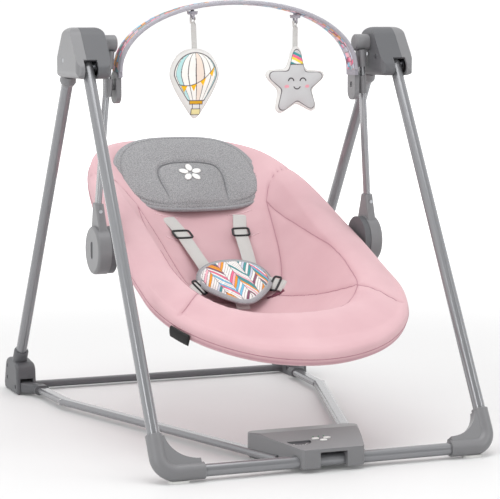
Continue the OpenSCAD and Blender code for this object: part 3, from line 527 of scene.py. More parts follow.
def rim(t):
    """Outline of the seat: half an ellipse at the foot, half a squarer superellipse at the head."""
    v = np.abs(t) / (np.pi / 2)
    v = np.where(v > 1, 2 - v, v)
    even = np.where(v < 0.5, 0.5 * (2 * v) ** 1.7, 1 - 0.5 * (2 - 2 * v) ** 1.7)
    a = even * np.pi / 2
    sign = np.where(np.abs(t) > np.pi / 2, -1.0, 1.0)
    e = 2 / 3.4
    x = np.where(t < 0, SEAT_W * np.cos(t), sign * SEAT_W * np.cos(a) ** e)
    s = np.where(t < 0, SEAT_FRONT * np.sin(t), SEAT_BACK * np.sin(a) ** e)
    return x, s


def mouth(x, s):
    """1 where the hollow meets the padded rim, less inside, more outside."""
    w = 155 + 0.1 * np.maximum(0, s - 260)
    y = s - SLING_C
    front = ((np.abs(x) / w) ** 2.8 + (np.maximum(-y, 0) / 207) ** 2.8) ** (1 / 2.8)
    back = ((np.abs(x) / w) ** 3 + (np.maximum(y, 0) / 455) ** 3) ** (1 / 3)
    return np.where(y < 0, front, back)


def hollow(x, s):
    """Height of the sling over the rim plane: a bowl that runs out towards the head, without its seams."""
    m = np.minimum(mouth(x, s), 1)
    depth = DEPTH * np.maximum(1 - 0.0022 * np.maximum(s - 170, 0), 0.15)
    return 5 * m**8 - depth * (1 - m**2.3)


def mirrored(path):
    """The path and its mirror image."""
    p = np.asarray(path, float)
    return [p, p * np.array([-1.0, 1.0])]


def smooth_line(points, step=3.0):
    """Catmull-Rom curve through points in the plane of x and s."""
    p = np.asarray(points, float)
    p = np.concatenate([2 * p[:1] - p[1:2], p, 2 * p[-1:] - p[-2:-1]])
    out = []
    for a, b, c, d in zip(p[:-3], p[1:-2], p[2:-1], p[3:]):
        n = max(int(np.linalg.norm(c - b) / step), 2)
        for t in np.linspace(0, 1, n, endpoint=False):
            out.append(
                0.5
                * (
                    2 * b
                    + (c - a) * t
                    + (2 * a - 5 * b + 4 * c - d) * t**2
                    + (3 * b - a - 3 * c + d) * t**3
                )
            )
    return np.array(out + [p[-2]])


# seams of the sling in seat coordinates
RIM_HALF = [(0, -98), (66, -88), (104, -68), (142, -18), (154, 40)]
RIM_HALF += [(157, 100), (150, 180), (138, 270), (124, 360)]
RIM_SEAM = smooth_line([(-a, b) for a, b in RIM_HALF[:0:-1]] + RIM_HALF)
BACK_PANEL = smooth_line([(124, 360), (112, 280), (100, 210), (86, 160), (70, 130)])
POCKET = smooth_line([(-70, 130), (-40, 139), (0, 142), (40, 139), (70, 130)])
CORNER = smooth_line([(70, 130), (106, 78), (130, 28), (142, -18)])
SIDE = smooth_line([(142, -18), (160, -44), (178, -66), (196, -82)])
HEAD = smooth_line([(124, 360), (138, 392), (158, 418), (182, 430), (203, 431)])


def seam_lines():
    """All seams of the sling."""
    return [RIM_SEAM, POCKET] + sum(map(mirrored, (BACK_PANEL, CORNER, SIDE, HEAD)), [])


def distance_to(x, s, lines):
    """Distance in the plane from each point to the nearest of some lines."""
    best = np.full(x.shape, 1e9)
    for line in lines:
        for a, b in zip(line[:-1:3], line[3::3]):
            ab = b - a
            t = np.clip(
                ((x - a[0]) * ab[0] + (s - a[1]) * ab[1]) / max(ab @ ab, 1e-9), 0, 1
            )
            best = np.minimum(
                best, np.hypot(x - a[0] - t * ab[0], s - a[1] - t * ab[1])
            )
    return best


def sling_face(x, s):
    """Height of the sling's face: the hollow, a crowned rim, soft waves and the dips of the seams."""
    m = mouth(x, s)
    out = np.clip((m - 1) / 0.4, 0, 1)
    crown = 8 * np.sin(np.pi * np.clip(out, 0, 1) ** 0.8)
    near = distance_to(x, s, seam_lines())
    dip = -1.7 * np.exp(-((near / 3.4) ** 2))
    swell = 2.2 * (1 - np.exp(-near / 18))
    pull = 0.5 * ripple(x, s, 26, 4) * np.exp(-near / 14)
    wave = 1.1 * ripple(x, s, 150, 2, 2) * np.clip(1 - m * 0.4, 0, 1)
    return hollow(x, s) + crown + dip + swell + pull + wave, near


def seat_sling():
    """The padded sling: face, a rolled rim round the ring and the back of the cloth, as one closed form.
    Rows run from the middle out to the rim and back under it; the back lies one thickness below the face."""
    cols, rows = 340, 92
    t = np.linspace(-np.pi, np.pi, cols, endpoint=False)
    px, ps = rim(t)
    q = np.linspace(0, 1, rows) ** 0.85 * 0.985
    x = q[:, None] * px
    s = SLING_C + q[:, None] * (ps - SLING_C)
    n, near = sling_face(x, s)
    seam = 0.5 * np.exp(-((near / 3.0) ** 2))
    # the rim turns down over the outermost 4 %
    drop = np.clip((q[:, None] - 0.945) / 0.04, 0, 1)
    edge_n = n - 4.5 * drop**2
    out = unit(np.stack([px, ps - SLING_C], -1))
    roll = [(1.5, -1.5), (3.0, -5.0), (3.4, -10.0), (3.0, -15.0), (1.6, -19.0), (-1.5, -21.5)]
    last = edge_n[-1]
    xs, ss, ns, seams = [x], [s], [edge_n], [seam]
    for o, dn in roll:
        xs.append((x[-1] + o * out[:, 0])[None])
        ss.append((s[-1] + o * out[:, 1])[None])
        ns.append((0.35 * last + dn)[None])
        seams.append(np.full((1, cols), 1.0 if dn == -15.0 else 0.0))
    # the back of the cloth
    q2 = np.linspace(0.955, 0.0, 60)
    x2 = q2[:, None] * px
    s2 = SLING_C + q2[:, None] * (ps - SLING_C)
    m2 = mouth(x2, s2)
    under = np.clip((m2 - 0.98) / 0.14, 0, 1)
    under = under * under * (3 - 2 * under)
    n2 = (hollow(x2, s2) - 7.5) * (1 - under) - 21.5 * under
    n2 += 0.8 * ripple(x2, s2, 90, 9, 2) * (1 - under)
    up = np.concatenate([seat_at(a, b, c) for a, b, c in zip(xs, ss, ns)])
    low = seat_at(x2, s2, n2)[::-1]
    top = up
    ring = np.concatenate([low, up[-1:]])
    face = np.concatenate(seams)
    obj = closed_form(
        "seat_cloth",
        top,
        ring,
        "pink",
        seam=(face, np.zeros((len(ring), cols))),
    )
    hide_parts("seat_sling")
    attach(obj, "seat")
    edge = seat_at(x[-1] + 3.3 * out[:, 0], s[-1] + 3.3 * out[:, 1], 0.35 * last - 8.0)
    around = out @ np.array([[1, 0, 0], SEAT_ALONG])
    cord = sweep("seat_edge_seam", edge, around, round_section(0.8, 8), "pink_thread", closed=True)
    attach(cord, "seat")


def seat_normal(x, s):
    """Upward normal of the smooth hollow."""
    e = 1.0
    dx = (hollow(x + e, s) - hollow(x - e, s)) / (2 * e)
    ds = (hollow(x, s + e) - hollow(x, s - e)) / (2 * e)
    v = np.stack([-dx, -ds, np.ones_like(dx)], -1)
    c, k = np.cos(TILT), np.sin(TILT)
    w = np.stack([v[..., 0], v[..., 1] * c - v[..., 2] * k, v[..., 1] * k + v[..., 2] * c], -1)
    return unit(w)


def seat_threads():
    """Cord that lies in every seam of the sling, half sunk, up to 20 mm from the rim's edge."""
    edge = np.stack(rim(np.linspace(-np.pi, np.pi, 241)), 1)
    for i, line in enumerate(seam_lines()):
        line = line[distance_to(line[:, 0], line[:, 1], [edge]) > 20]
        x, s = line[:, 0], line[:, 1]
        n, _ = sling_face(x, s)
        obj = sweep(
            f"seat_seam_{i}",
            seat_at(x, s, n + 0.25),
            seat_normal(x, s),
            round_section(0.7, 8),
            "pink_thread",
        )
        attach(obj, "seat")


# ------------------------------------------------------------------ head pillow

PILLOW = (0.0, 451.0, 130.0, 92.0)


def pillow_face(s):
    """Height of the pillow's resting plane, curved up towards the head."""
    u = s - 372
    return -20 + 0.25 * u + 0.0004 * u * u


def pillow_outline(t):
    """Rounded four-sided outline, wider at the head than at the neck."""
    c, k = np.cos(t), np.sin(t)
    x = (PILLOW[2] + 8) * np.sign(c) * np.abs(c) ** 0.66
    s = PILLOW[3] * np.sign(k) * np.abs(k) ** 0.72
    return x * (1 - 0.06 * s / PILLOW[3]), s


HORSESHOE = smooth_line(
    [(-54, 368), (-58, 400), (-62, 436), (-55, 460), (-32, 470), (0, 472)]
    + [(32, 470), (55, 460), (62, 436), (58, 400), (54, 368)]
)


def head_pillow():
    """Crowned pad with a stitched horseshoe channel: thickness falls to the edge as the root of 1 - q^4."""
    cols, rows = 300, 60
    t = np.linspace(0, 2 * np.pi, cols, endpoint=False)
    ox, os = pillow_outline(t)
    q = np.linspace(0, 1, rows)[:, None] ** 0.8
    x, s = q * ox, PILLOW[1] + q * os
    near = distance_to(x, s, [HORSESHOE])
    near_edge = (1 - q) * np.hypot(ox, os)
    fall = np.sqrt(np.clip(1 - q**4, 0, 1))
    swell = 3.0 * (1 - np.exp(-near / 16)) * fall
    top_n = pillow_face(s) - 8 + 11 * fall + swell
    top_n -= 3.0 * np.exp(-((near / 3.0) ** 2)) * fall
    top_n -= 1.6 * np.exp(-(((near_edge - 9) / 2.0) ** 2))
    top_n += 0.5 * ripple(x, s, 60, 11, 2) * fall
    low_n = np.maximum(sling_face(x, s)[0] + 1.5, pillow_face(s) - 8 - 12 * fall)
    low_n = np.minimum(low_n, top_n - 0.4)
    low_n[-1] = top_n[-1]
    obj = closed_form("head_pillow_cloth", seat_at(x, s, top_n), seat_at(x, s, low_n), "melange")
    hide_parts("head_pillow")
    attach(obj, "seat")
    edge = seat_at(ox, PILLOW[1] + os, top_n[-1])
    tape = sweep(
        "head_pillow_binding",
        edge,
        np.broadcast_to(SEAT_UP, edge.shape),
        round_section(3.6, 12),
        "binding",
        closed=True,
    )
    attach(tape, "seat")

    def face(px, ps):
        d = np.hypot(px / PILLOW[2], (ps - PILLOW[1]) / PILLOW[3])
        f = np.sqrt(np.clip(1 - np.clip(d, 0, 1) ** 4, 0, 1))
        return pillow_face(ps) - 8 + 14.0 * f

    cord = seat_at(HORSESHOE[:, 0], HORSESHOE[:, 1], face(HORSESHOE[:, 0], HORSESHOE[:, 1]) - 3.9)
    cord = sweep(
        "head_pillow_seam", cord, np.broadcast_to(SEAT_UP, cord.shape), round_section(0.7), "grey_thread"
    )
    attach(cord, "seat")
    lines, ups = [], []
    k = 0.925
    lines.append(seat_at(k * ox, PILLOW[1] + k * os, top_n[int(rows * k**1.25) - 1] + 0.2))
    ups.append(np.broadcast_to(SEAT_UP, lines[-1].shape))
    thread = stitches("head_pillow_stitching", lines, ups, "grey_thread", r=0.5, lift=0.1)
    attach(thread, "seat")
    # plain embroidered motif: a five-petalled flower
    petals, faces = [], []
    for i in range(5):
        a = np.pi / 2 + 2 * np.pi * i / 5
        g = np.linspace(0, 2 * np.pi, 24, endpoint=False)
        rr = np.linspace(0, 1, 5)[:, None]
        cx, cs = 13 * np.cos(a), 13 * np.sin(a) - 12
        ux = cx + rr * (9.5 * np.cos(g) * np.cos(a) - 6.4 * np.sin(g) * np.sin(a))
        us = cs + rr * (9.5 * np.cos(g) * np.sin(a) + 6.4 * np.sin(g) * np.cos(a))
        h = face(ux, PILLOW[1] + us) + 1.2 * np.sqrt(1 - 0.98 * rr**2) + 0.5
        low = seat_at(ux, PILLOW[1] + us, h - 1.5 * (1 - rr**2))
        points, own = closed_grid(seat_at(ux, PILLOW[1] + us, h), low)
        first = sum(len(p) for p in petals)
        faces += [[first + k for k in f] for f in own]
        petals.append(points)
    flower = new_mesh("head_pillow_motif", np.concatenate(petals), faces, "motif")
    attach(flower, "seat")


# ------------------------------------------------------------------ harness


def seat_curve(points):
    """Smooth 3-D line through seat points (x, s, n): even steps, averaged over five neighbours."""
    p = np.asarray(points, float)
    t = np.linspace(0, 1, len(p))
    u = np.linspace(0, 1, 40)

    def soft(v):
        w = np.convolve(np.r_[[v[0]] * 2, v, [v[-1]] * 2], np.ones(5) / 5, "valid")
        w[0], w[-1] = v[0], v[-1]
        return w

    return seat_at(*(soft(np.interp(u, t, p[:, k])) for k in range(3)))


def slider(name, at, across, go, up, w=35.0, h=25.0):
    """Slide: a rounded rectangular rod frame whose middle bar lies under the strap."""
    across, go, up = unit(across), unit(go), unit(up)
    a = np.linspace(0, 2 * np.pi, 64, endpoint=False)
    e = 0.35
    c, k = np.cos(a), np.sin(a)
    path = (
        at
        + (w / 2 - 1.8) * (np.sign(c) * np.abs(c) ** e)[:, None] * across
        + (h / 2 - 1.8) * (np.sign(k) * np.abs(k) ** e)[:, None] * go
    )
    ring = sweep(
        name, path, np.broadcast_to(up, path.shape), flat_section(4.2, 3.0), "black", closed=True
    )
    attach(ring, "seat")
    return ring


def harness():
    """Shoulder and waist straps pulled straight from their slots to the buckle, with slides."""
    first = None
    for side in (-1, 1):
        tag = "left" if side < 0 else "right"
        top = hollow(70.0, 350.0)
        pts = [
            (side * 71, 358, float(hollow(71.0, 358.0)) - 4),
            (side * 70, 350, float(top) + 2.0),
            (side * 68, 344, float(top) + 2.0),
            (side * 56, 305, -50),
            (side * 49, 250, -60),
            (side * 43, 210, -68),
            (side * 38, 185, -80),
        ]
        path = seat_curve(pts)
        go = along(path)
        side_way = np.array([1.0, 0.0, 0.0])
        up = np.cross(side_way, go)
        up *= np.sign(up @ SEAT_UP)[:, None]
        strap = sweep("shoulder_strap_" + tag, path, up, flat_section(25, 1.7), "webbing")
        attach(strap, "seat")
        first = first or strap
        k = 20
        slider("shoulder_slide_" + tag, path[k] + 1.6 * unit(up[k]), side_way, go[k], up[k])
        # slot in the back panel: a thin pale strip across the cloth where the strap goes in
        for nm, (x, s), w in (("shoulder", (70, 353), 46.0), ("spare", (74, 292), 30.0)):
            g = np.linspace(-w / 2, w / 2, 12)
            xs = side * x + g
            ss = np.full(12, float(s))
            ns = sling_face(xs, ss)[0] + 0.4
            slit = sweep(
                f"{nm}_slot_{tag}",
                seat_at(xs, ss, ns),
                seat_normal(xs, ss),
                flat_section(2.0, 1.2),
                "pale_thread",
            )
            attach(slit, "seat")
        pts = [
            (side * 84, 140, float(hollow(84.0, 140.0)) - 1),
            (side * 80, 144, float(hollow(80.0, 144.0)) + 4),
            (side * 66, 158, -80),
            (side * 50, 166, -80),
            (side * 34, 170, -86),
        ]
        path = seat_curve(pts)
        go = along(path)
        up = np.cross(np.cross(go, SEAT_UP - 0.7 * SEAT_ALONG), go)
        strap = sweep("waist_strap_" + tag, path, up, flat_section(25, 1.7), "webbing")
        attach(strap, "seat")
        slider(
            "waist_slide_" + tag,
            path[16] + 1.6 * unit(up[16]),
            np.cross(go[16], up[16]),
            go[16],
            up[16],
            34,
            17,
        )
    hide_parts("harness_webbing", "strap_sliders")


INKS = ["#3f9a9c", "#f5a01a", "#f06a8f", "#6ec1e4", "#8a5068", "#f7b9c6", "#cfd6e4"]


def herringbone(u, v, column=16.0, band=5.0, slope=1.1, seed=0, ground="#f4f3f0", fill=0.55):
    """Print of columns of slanted bars whose lean mirrors from column to column. Bars differ in width,
    about half of them are coloured, and thin dark lines part them."""
    col = np.floor(u / column)
    local = u - col * column
    lean = np.where(col % 2 == 0, local, column - local)
    w = v + slope * lean + 2.7 * col + 0.8 * np.sin(v / 7 + col)
    k = np.floor(w / band)
    part = w - k * band
    toss = np.abs(np.sin((k * 12.9898 + col * 78.233 + seed) % 1000) * 43758.5453) % 1
    pick = np.clip((toss / fill * len(INKS)).astype(int), 0, len(INKS) - 1)
    ink = np.array([linear(c) for c in INKS])[pick]
    ink[toss > fill] = linear(ground)
    ink[(part < 0.95) | (local < 0.8)] = linear("#6d5f67")
    return ink


def crotch_pad():
    """Soft rounded triangle over the buckle, printed, with a grey bound edge."""
    cols, rows = 560, 84
    t = np.linspace(0, 2 * np.pi, cols, endpoint=False)
    # outline: a rounded triangle, wide towards the head, with its tip at the foot end
    c, k = np.cos(t), np.sin(t)
    oy = np.where(k > 0, 43 * np.abs(k) ** 0.75, -64 * np.abs(k) ** 1.15)
    taper = np.where(oy > 0, 1.0, 1 - 0.5 * np.abs(oy / 64) ** 1.3)
    ox = 68 * np.sign(c) * np.abs(c) ** 0.78 * taper
    q = np.linspace(0, 1, rows)[:, None]
    x, y = q * ox, q * oy
    s = 164 + y
    fall = np.sqrt(np.clip(1 - q**5, 0, 1))
    near_edge = (1 - q) * np.hypot(ox, oy)
    base = -72 + 0.26 * (s - 158) + 0.0008 * (s - 158) ** 2 - 0.0016 * x**2
    top = base + 6.5 * fall - 1.2 * np.exp(-(((near_edge - 7) / 1.6) ** 2))
    top += 0.4 * ripple(x, y, 40, 21, 2) * fall
    q_low = np.linspace(0, 1, 16)[:, None]
    x_low, s_low = q_low * ox, 164 + q_low * oy
    low = -72 + 0.26 * (s_low - 158) + 0.0008 * (s_low - 158) ** 2 - 0.0016 * x_low**2
    low -= 5.5 * np.sqrt(np.clip(1 - q_low**5, 0, 1))
    low[-1] = top[-1]
    ink = herringbone(x + 0.25 * y + 200, y + 60, 20.0, 6.5, 1.35, 4)
    ink[np.broadcast_to(near_edge < 6.5, x.shape)] = linear("#a9abaf")
    back = paint(x_low.shape, "#a9abaf")
    obj = closed_form(
        "crotch_pad_cloth", seat_at(x, s, top), seat_at(x_low, s_low, low), "printed", ink=(ink, back)
    )
    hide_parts("crotch_pad")
    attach(obj, "seat")
    rim_line = seat_at(ox, 164 + oy, top[-1])
    tape = sweep(
        "crotch_pad_binding",
        rim_line,
        np.broadcast_to(SEAT_UP, rim_line.shape),
        round_section(2.2, 10),
        "binding",
        closed=True,
    )
    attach(tape, "seat")
    # crotch strap between the pad and its slot in the sling
    path = seat_curve([(0, 140, -90), (0, 126, -95), (0, 114, -100), (0, 108, -106)])
    up = np.cross(np.array([1.0, 0, 0]), along(path))
    up *= np.sign(up @ SEAT_UP)[:, None]
    strap = sweep("crotch_strap", path, up, flat_section(25, 2.0), "webbing")
    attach(strap, "seat")
    # waist strap slots: flat dark maroon strips on the sling, painted shade where each slot opens into the cloth
    for side in (-1, 1):
        g = np.linspace(-14, 14, 12)
        xs, ss = side * 66 + g, 134 + 0 * g
        slot = sweep(
            "lining_slot_" + ("left" if side < 0 else "right"),
            seat_at(xs, ss, sling_face(xs, ss)[0] + 0.5),
            seat_normal(xs, ss),
            flat_section(9.0, 1.2),
            "maroon",
        )
        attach(slot, "seat")


def side_tag():
    """Blank folded label sewn into the rim's side seam near the foot end."""
    t = np.radians(np.linspace(-157, -147, 14))
    x, s = rim(t)
    path = seat_at(1.012 * x, s, np.full(t.shape, -13.0)) - np.array([0, 0, 5.0])
    out = unit(path - seat_at(0, SLING_C, 0))
    a = np.linspace(0, 2 * np.pi, 16, endpoint=False)
    fold = np.stack([10.0 * np.cos(a), (2.6 - 1.4 * np.cos(a)) * np.sin(a)], 1)
    obj = sweep("side_label", path, out, fold, "tag")
    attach(obj, "seat")


# ------------------------------------------------------------------ toy bar and toys

ARCH_W, ARCH_Z, ARCH_H, BAND_T = 219.0, 612.0, 120.0, 6.5


def arch(t, inset):
    """Point of the arch at an angle, a superellipse over its end caps."""
    e = 2 / 2.1
    c, k = np.cos(t), np.sin(t)
    return np.stack(
        [
            (ARCH_W - inset) * np.sign(c) * np.abs(c) ** e,
            np.zeros_like(c),
            ARCH_Z + (ARCH_H - inset) * np.abs(k) ** e,
        ],
        -1,
    )


def bar_cover():
    """Printed sleeve over the arch: a padded oblong section swept along it, gathered a little."""
    t = np.radians(np.linspace(0.5, 179.5, 620))
    path = arch(t, BAND_T / 2) + np.array([0, CLIP[1], 0])
    go = along(path)
    out = unit(np.cross(go, np.array([0.0, 1.0, 0.0])))
    out *= np.sign((out * (path - np.array([0, CLIP[1], ARCH_Z - 40]))).sum(1))[:, None]
    a = np.linspace(0, 2 * np.pi, 72, endpoint=False)
    sy = 20.2 * np.sign(np.cos(a)) * np.abs(np.cos(a)) ** 0.42
    sn = 3.9 * np.sign(np.sin(a)) * np.abs(np.sin(a)) ** 0.6
    d = np.r_[0, np.cumsum(np.linalg.norm(np.diff(path, axis=0), axis=1))]
    gather = 0.5 * ripple(d[:, None], 3 * sy[None], 24, 31, 2)
    pts = (
        path[:, None]
        + (sy[None] * (1 + 0.008 * gather))[..., None] * np.array([0.0, 1.0, 0.0])
        + (sn[None] + np.sign(sn)[None] * 0.4 * gather)[..., None] * out[:, None]
    )
    faces = grid_faces(len(t), 72)
    faces.append(list(range(72))[::-1])
    faces.append([(len(t) - 1) * 72 + j for j in range(72)])
    along_d = np.broadcast_to(d[:, None], (len(t), 72))
    across = np.broadcast_to(sy[None], (len(t), 72))
    ink = herringbone(across + 60, along_d, 10.0, 9.0, 1.0, 3, "#b9b7c0", 0.7)
    ink[np.abs(across) > 14.5] = linear("#a7a5ad")
    obj = new_mesh("toy_bar_cover", pts.reshape(-1, 3), faces, "printed", ink=ink.reshape(-1, 4))
    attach(obj, "toy_bar_body")


def hook_at(name):
    """Pivot of a hanging toy, in millimetres."""
    return 1000 * np.array(JOINTS[name]["pos_m"], float)


def toy_ribbon(name, top, x, low, body):
    """Folded ribbon: a loop through the hook, then two layers down into the toy."""
    path = [(-2.4, -15.0), (-3.1, -9.0), (-3.2, -5.0), (-1.6, -3.7)]
    path += [(1.6, -3.7), (3.2, -5.0), (2.9, -9.0), (1.2, -14.0)]
    path += [(0.6, z) for z in np.linspace(-18, low - top[2], 12)]
    drift = np.linspace(0, x - top[0], len(path))
    pts = np.array([(top[0] + u + g, top[1], top[2] + w) for (u, w), g in zip(path, drift)])
    pts = resample(pts, 1.2)
    far = np.clip((top[2] - 7 - pts[:, 2]) / 11, 0, 1) * (np.arange(len(pts)) > 16)
    turn = far * far * (3 - 2 * far) * np.pi / 2
    go = along(pts)
    wide = np.stack([np.sin(turn), np.cos(turn), 0 * turn], 1)
    keep = sweep(name, pts, np.cross(go, wide), flat_section(9.6, 0.8), "webbing")
    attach(keep, body)
    return keep


def padded_toy(name, outline, centre, thick, inks, node, body, finish="plush"):
    """Stuffed flat toy: an outline in x and z, crowned front and back, with its print on both faces."""
    cols, rows = 420, 80
    t = np.linspace(0, 2 * np.pi, cols, endpoint=False)
    ox, oz = outline(t)
    q = np.linspace(0, 1, rows)[:, None] ** 0.9
    x, z = q * ox, q * oz
    fall = np.clip(1 - q**3, 0, 1) ** 0.5
    h = thick / 2 * fall * (1 + 0.06 * ripple(x, z, 36, 41, 2))
    front = centre + np.stack([x, -h, z], -1)
    back = centre + np.stack([x, h, z], -1)
    ink = inks(x, z)
    obj = closed_form(name, front, back, finish, ink=(ink, ink.copy()))
    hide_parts(node)
    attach(obj, body)
    return obj


def balloon_outline(t):
    """Round above, drawn in to a blunt foot below."""
    c, k = np.cos(t), np.sin(t)
    z = np.where(k > 0, 45 * k, 74 * np.sign(k) * np.abs(k) ** 1.05)
    w = np.where(k > 0, 45.0, 45 - 28 * np.clip(-z / 74, 0, 1) ** 1.3)
    return w * np.sign(c) * np.abs(c) ** 0.92, z


LINE_INK = "#4a4148"


def balloon_print(x, z):
    """White toy with a striped balloon, a slanted row of pennants, a collar and a basket."""
    ink = paint(x.shape, "#e3e2df")
    w = np.where(z > 0, 38.0, 38 - 26 * np.clip(-z / 46, 0, 1) ** 1.25)
    body = np.where(z > 0, np.hypot(x, z) - 38, np.maximum(np.abs(x) - w, -z - 43))
    wide = w * np.sqrt(np.clip(1 - (np.maximum(z, 0) / 38) ** 2, 0.02, 1))
    u = np.arcsin(np.clip(x / np.maximum(wide, 1), -1, 1)) / np.pi + 0.5
    tones = ["#f3f1ec", "#b5dede", "#f3f1ec", "#f3f1ec", "#ecdccf", "#f3f1ec", "#f3f1ec", "#b5dede"]
    shade = np.array([linear(c) for c in tones])[np.clip((u * 8).astype(int), 0, 7)]
    inside = body < 0
    ink[inside] = shade[inside]
    frac = u * 8 % 1
    put(ink, inside & ((frac < 0.06) | (frac > 0.94)), LINE_INK)
    line = -14 + 0.42 * x + 0.012 * x * x
    drop = line - z
    flag = (drop > 0) & (drop < 11) & (np.abs((x + 200) % 17 - 8.5) < 5.6 * (1 - drop / 11))
    put(ink, inside & flag, "#f2b90d")
    put(ink, inside & (np.abs(drop) < 0.7), LINE_INK)
    put(ink, edge_mask(np.abs(body) - 0.8), LINE_INK)
    collar = np.maximum(np.abs(x) - 11.5, np.abs(z + 46) - 3)
    put(ink, edge_mask(collar), "#dba41c")
    put(ink, edge_mask(np.abs(collar) - 0.6), LINE_INK)
    basket = np.maximum(np.abs(x) - 8, np.abs(z + 62) - 5)
    put(ink, edge_mask(basket), "#ece0a4")
    put(ink, edge_mask(np.abs(basket) - 0.6), LINE_INK)
    put(ink, (np.abs(np.abs(x) - 6.5) < 0.6) & (z < -48) & (z > -57), LINE_INK)
    return ink


def star_radius(t, points, hollows):
    """Radius of a five-pointed star with straight sides and the given outer and inner radii, tip up."""
    a = np.abs((t - np.pi / 2 + np.pi / 5) % (2 * np.pi / 5) - np.pi / 5)
    end = np.array([hollows * np.cos(np.pi / 5), hollows * np.sin(np.pi / 5)])
    d = end - np.array([points, 0.0])
    return points * d[1] / (np.cos(a) * d[1] - np.sin(a) * d[0])


def star_outline(t):
    """Five blunt points, the top one longer: a star blurred round its edge."""
    turn = np.linspace(-0.17, 0.17, 21)
    wave = 0.06 * np.cos(t - 1.9)
    r = np.mean([star_radius(t + g + wave, 68, 33) for g in turn], 0)
    top = np.abs((t - np.pi / 2 + np.pi) % (2 * np.pi) - np.pi)
    r = r + 9 * np.exp(-((top / 0.22) ** 2))
    return r * np.cos(t), r * np.sin(t)


def star_print(x, z):
    """Grey star with a white border, closed eyes, a small smile and a striped tip."""
    t = np.arctan2(z, x)
    ox, oz = star_outline(t)
    inner = np.hypot(x, z) - (np.hypot(ox, oz) - 6.0)
    ink = paint(x.shape, "#e3e2df")
    put(ink, edge_mask(inner), "#c6c6c7")
    tip = (z > 35) & (inner < 0)
    for k, c in enumerate(("#3f9a9c", "#eeeeec", "#f2d94e", "#f06a8f", "#3f9a9c")):
        put(ink, tip & (np.floor((z + 0.5 * x - 30) / 5) == k), c)
    put(ink, (inner < 0) & (np.abs(z - 35) < 0.8), LINE_INK)
    put(ink, edge_mask(np.abs(inner) - 0.8), LINE_INK)
    for e in (-1, 1):
        d = np.abs(np.hypot(x - e * 11, z - 6) - 5.2)
        put(ink, (d < 1.1) & (z > 6), "#3a3236")
        put(ink, np.hypot((x - e * 19) / 4.2, (z + 3) / 2.8) < 1, "#e9a3ae")
    d = np.abs(np.hypot(x, z + 1.5) - 6.0)
    put(ink, (d < 1.0) & (z < -3.2), "#3a3236")
    return ink


def hook_cuff(name, top):
    """Fabric cuff that wraps the bar's hook: an oblong sleeve 13 mm wide that widens to the bar."""
    a = np.linspace(0, 2 * np.pi, 32, endpoint=False)
    cx = np.sign(np.cos(a)) * np.abs(np.cos(a)) ** 0.5
    sy = np.sign(np.sin(a)) * np.abs(np.sin(a)) ** 0.5
    rows = [(7.2, 12.0, 9.0), (7.0, 11.4, 6.6), (6.8, 10.8, 4.8), (6.4, 10.2, 3.8), (5.4, 9.4, 3.3)]
    pts = np.concatenate(
        [top + np.stack([w * cx, d * sy, np.full(32, h - 3.0)], 1) for w, d, h in rows]
    )
    faces = grid_faces(5, 32) + [list(range(32))[::-1], [128 + j for j in range(32)]]
    obj = new_mesh(name, pts, faces, "bar_edge")
    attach(obj, "toy_bar_body")


def toys():
    """Both hanging toys with their ribbons."""
    top = hook_at("balloon_swing")
    centre = np.array([top[0] + 3, top[1], 606.0])
    padded_toy("balloon_plush", balloon_outline, centre, 22, balloon_print, "balloon_toy", "balloon")
    toy_ribbon("balloon_ribbon", top, centre[0], centre[2] + 42, "balloon")
    hook_cuff("balloon_hook_cuff", top)
    top = hook_at("star_swing")
    centre = np.array([top[0] - 1, top[1], 588.0])
    padded_toy("star_plush", star_outline, centre, 24, star_print, "star_toy", "star")
    toy_ribbon("star_ribbon", top, centre[0], centre[2] + 58, "star")
    hook_cuff("star_hook_cuff", top)


# ------------------------------------------------------------------ control unit marks

LID = np.array(JOINTS["speed_dial_turn"]["axis"], float)


def disc(name, centre, normal, r, high, finish, body, sides=24):
    """Flat round button of a given height, standing on a plane."""
    normal = unit(np.asarray(normal, float))
    side = unit(np.cross(normal, [0.0, 1.0, 0.0]))
    fore = np.cross(normal, side)
    a = np.linspace(0, 2 * np.pi, sides, endpoint=False)[:, None]
    ring = np.cos(a) * side + np.sin(a) * fore
    pts = np.concatenate([centre + r * ring, centre + r * ring + high * normal])
    faces = [[i, (i + 1) % sides, sides + (i + 1) % sides, sides + i] for i in range(sides)]
    faces += [list(range(sides))[::-1], list(range(sides, 2 * sides))]
    obj = new_mesh(name, pts, [f[::-1] for f in faces], finish)
    obj.data.polygons.foreach_set("use_smooth", np.zeros(len(obj.data.polygons), bool))
    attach(obj, body)
    return obj


# strokes of the figures 0 to 5 on a grid of 2 by 4 units
FIGURES = [
    [(0, 0), (2, 0), (2, 4), (0, 4), (0, 0)],
    [(0.4, 3.2), (1.2, 4), (1.2, 0)],
    [(0, 4), (2, 4), (2, 2), (0, 2), (0, 0), (2, 0)],
    [(0, 4), (2, 4), (0.8, 2.2), (2, 2), (2, 0), (0, 0)],
    [(0, 4), (0, 1.6), (2, 1.6), (1.5, 1.6), (1.5, 4), (1.5, 0)],
    [(2, 4), (0, 4), (0, 2.2), (2, 2.2), (2, 0), (0, 0)],
]


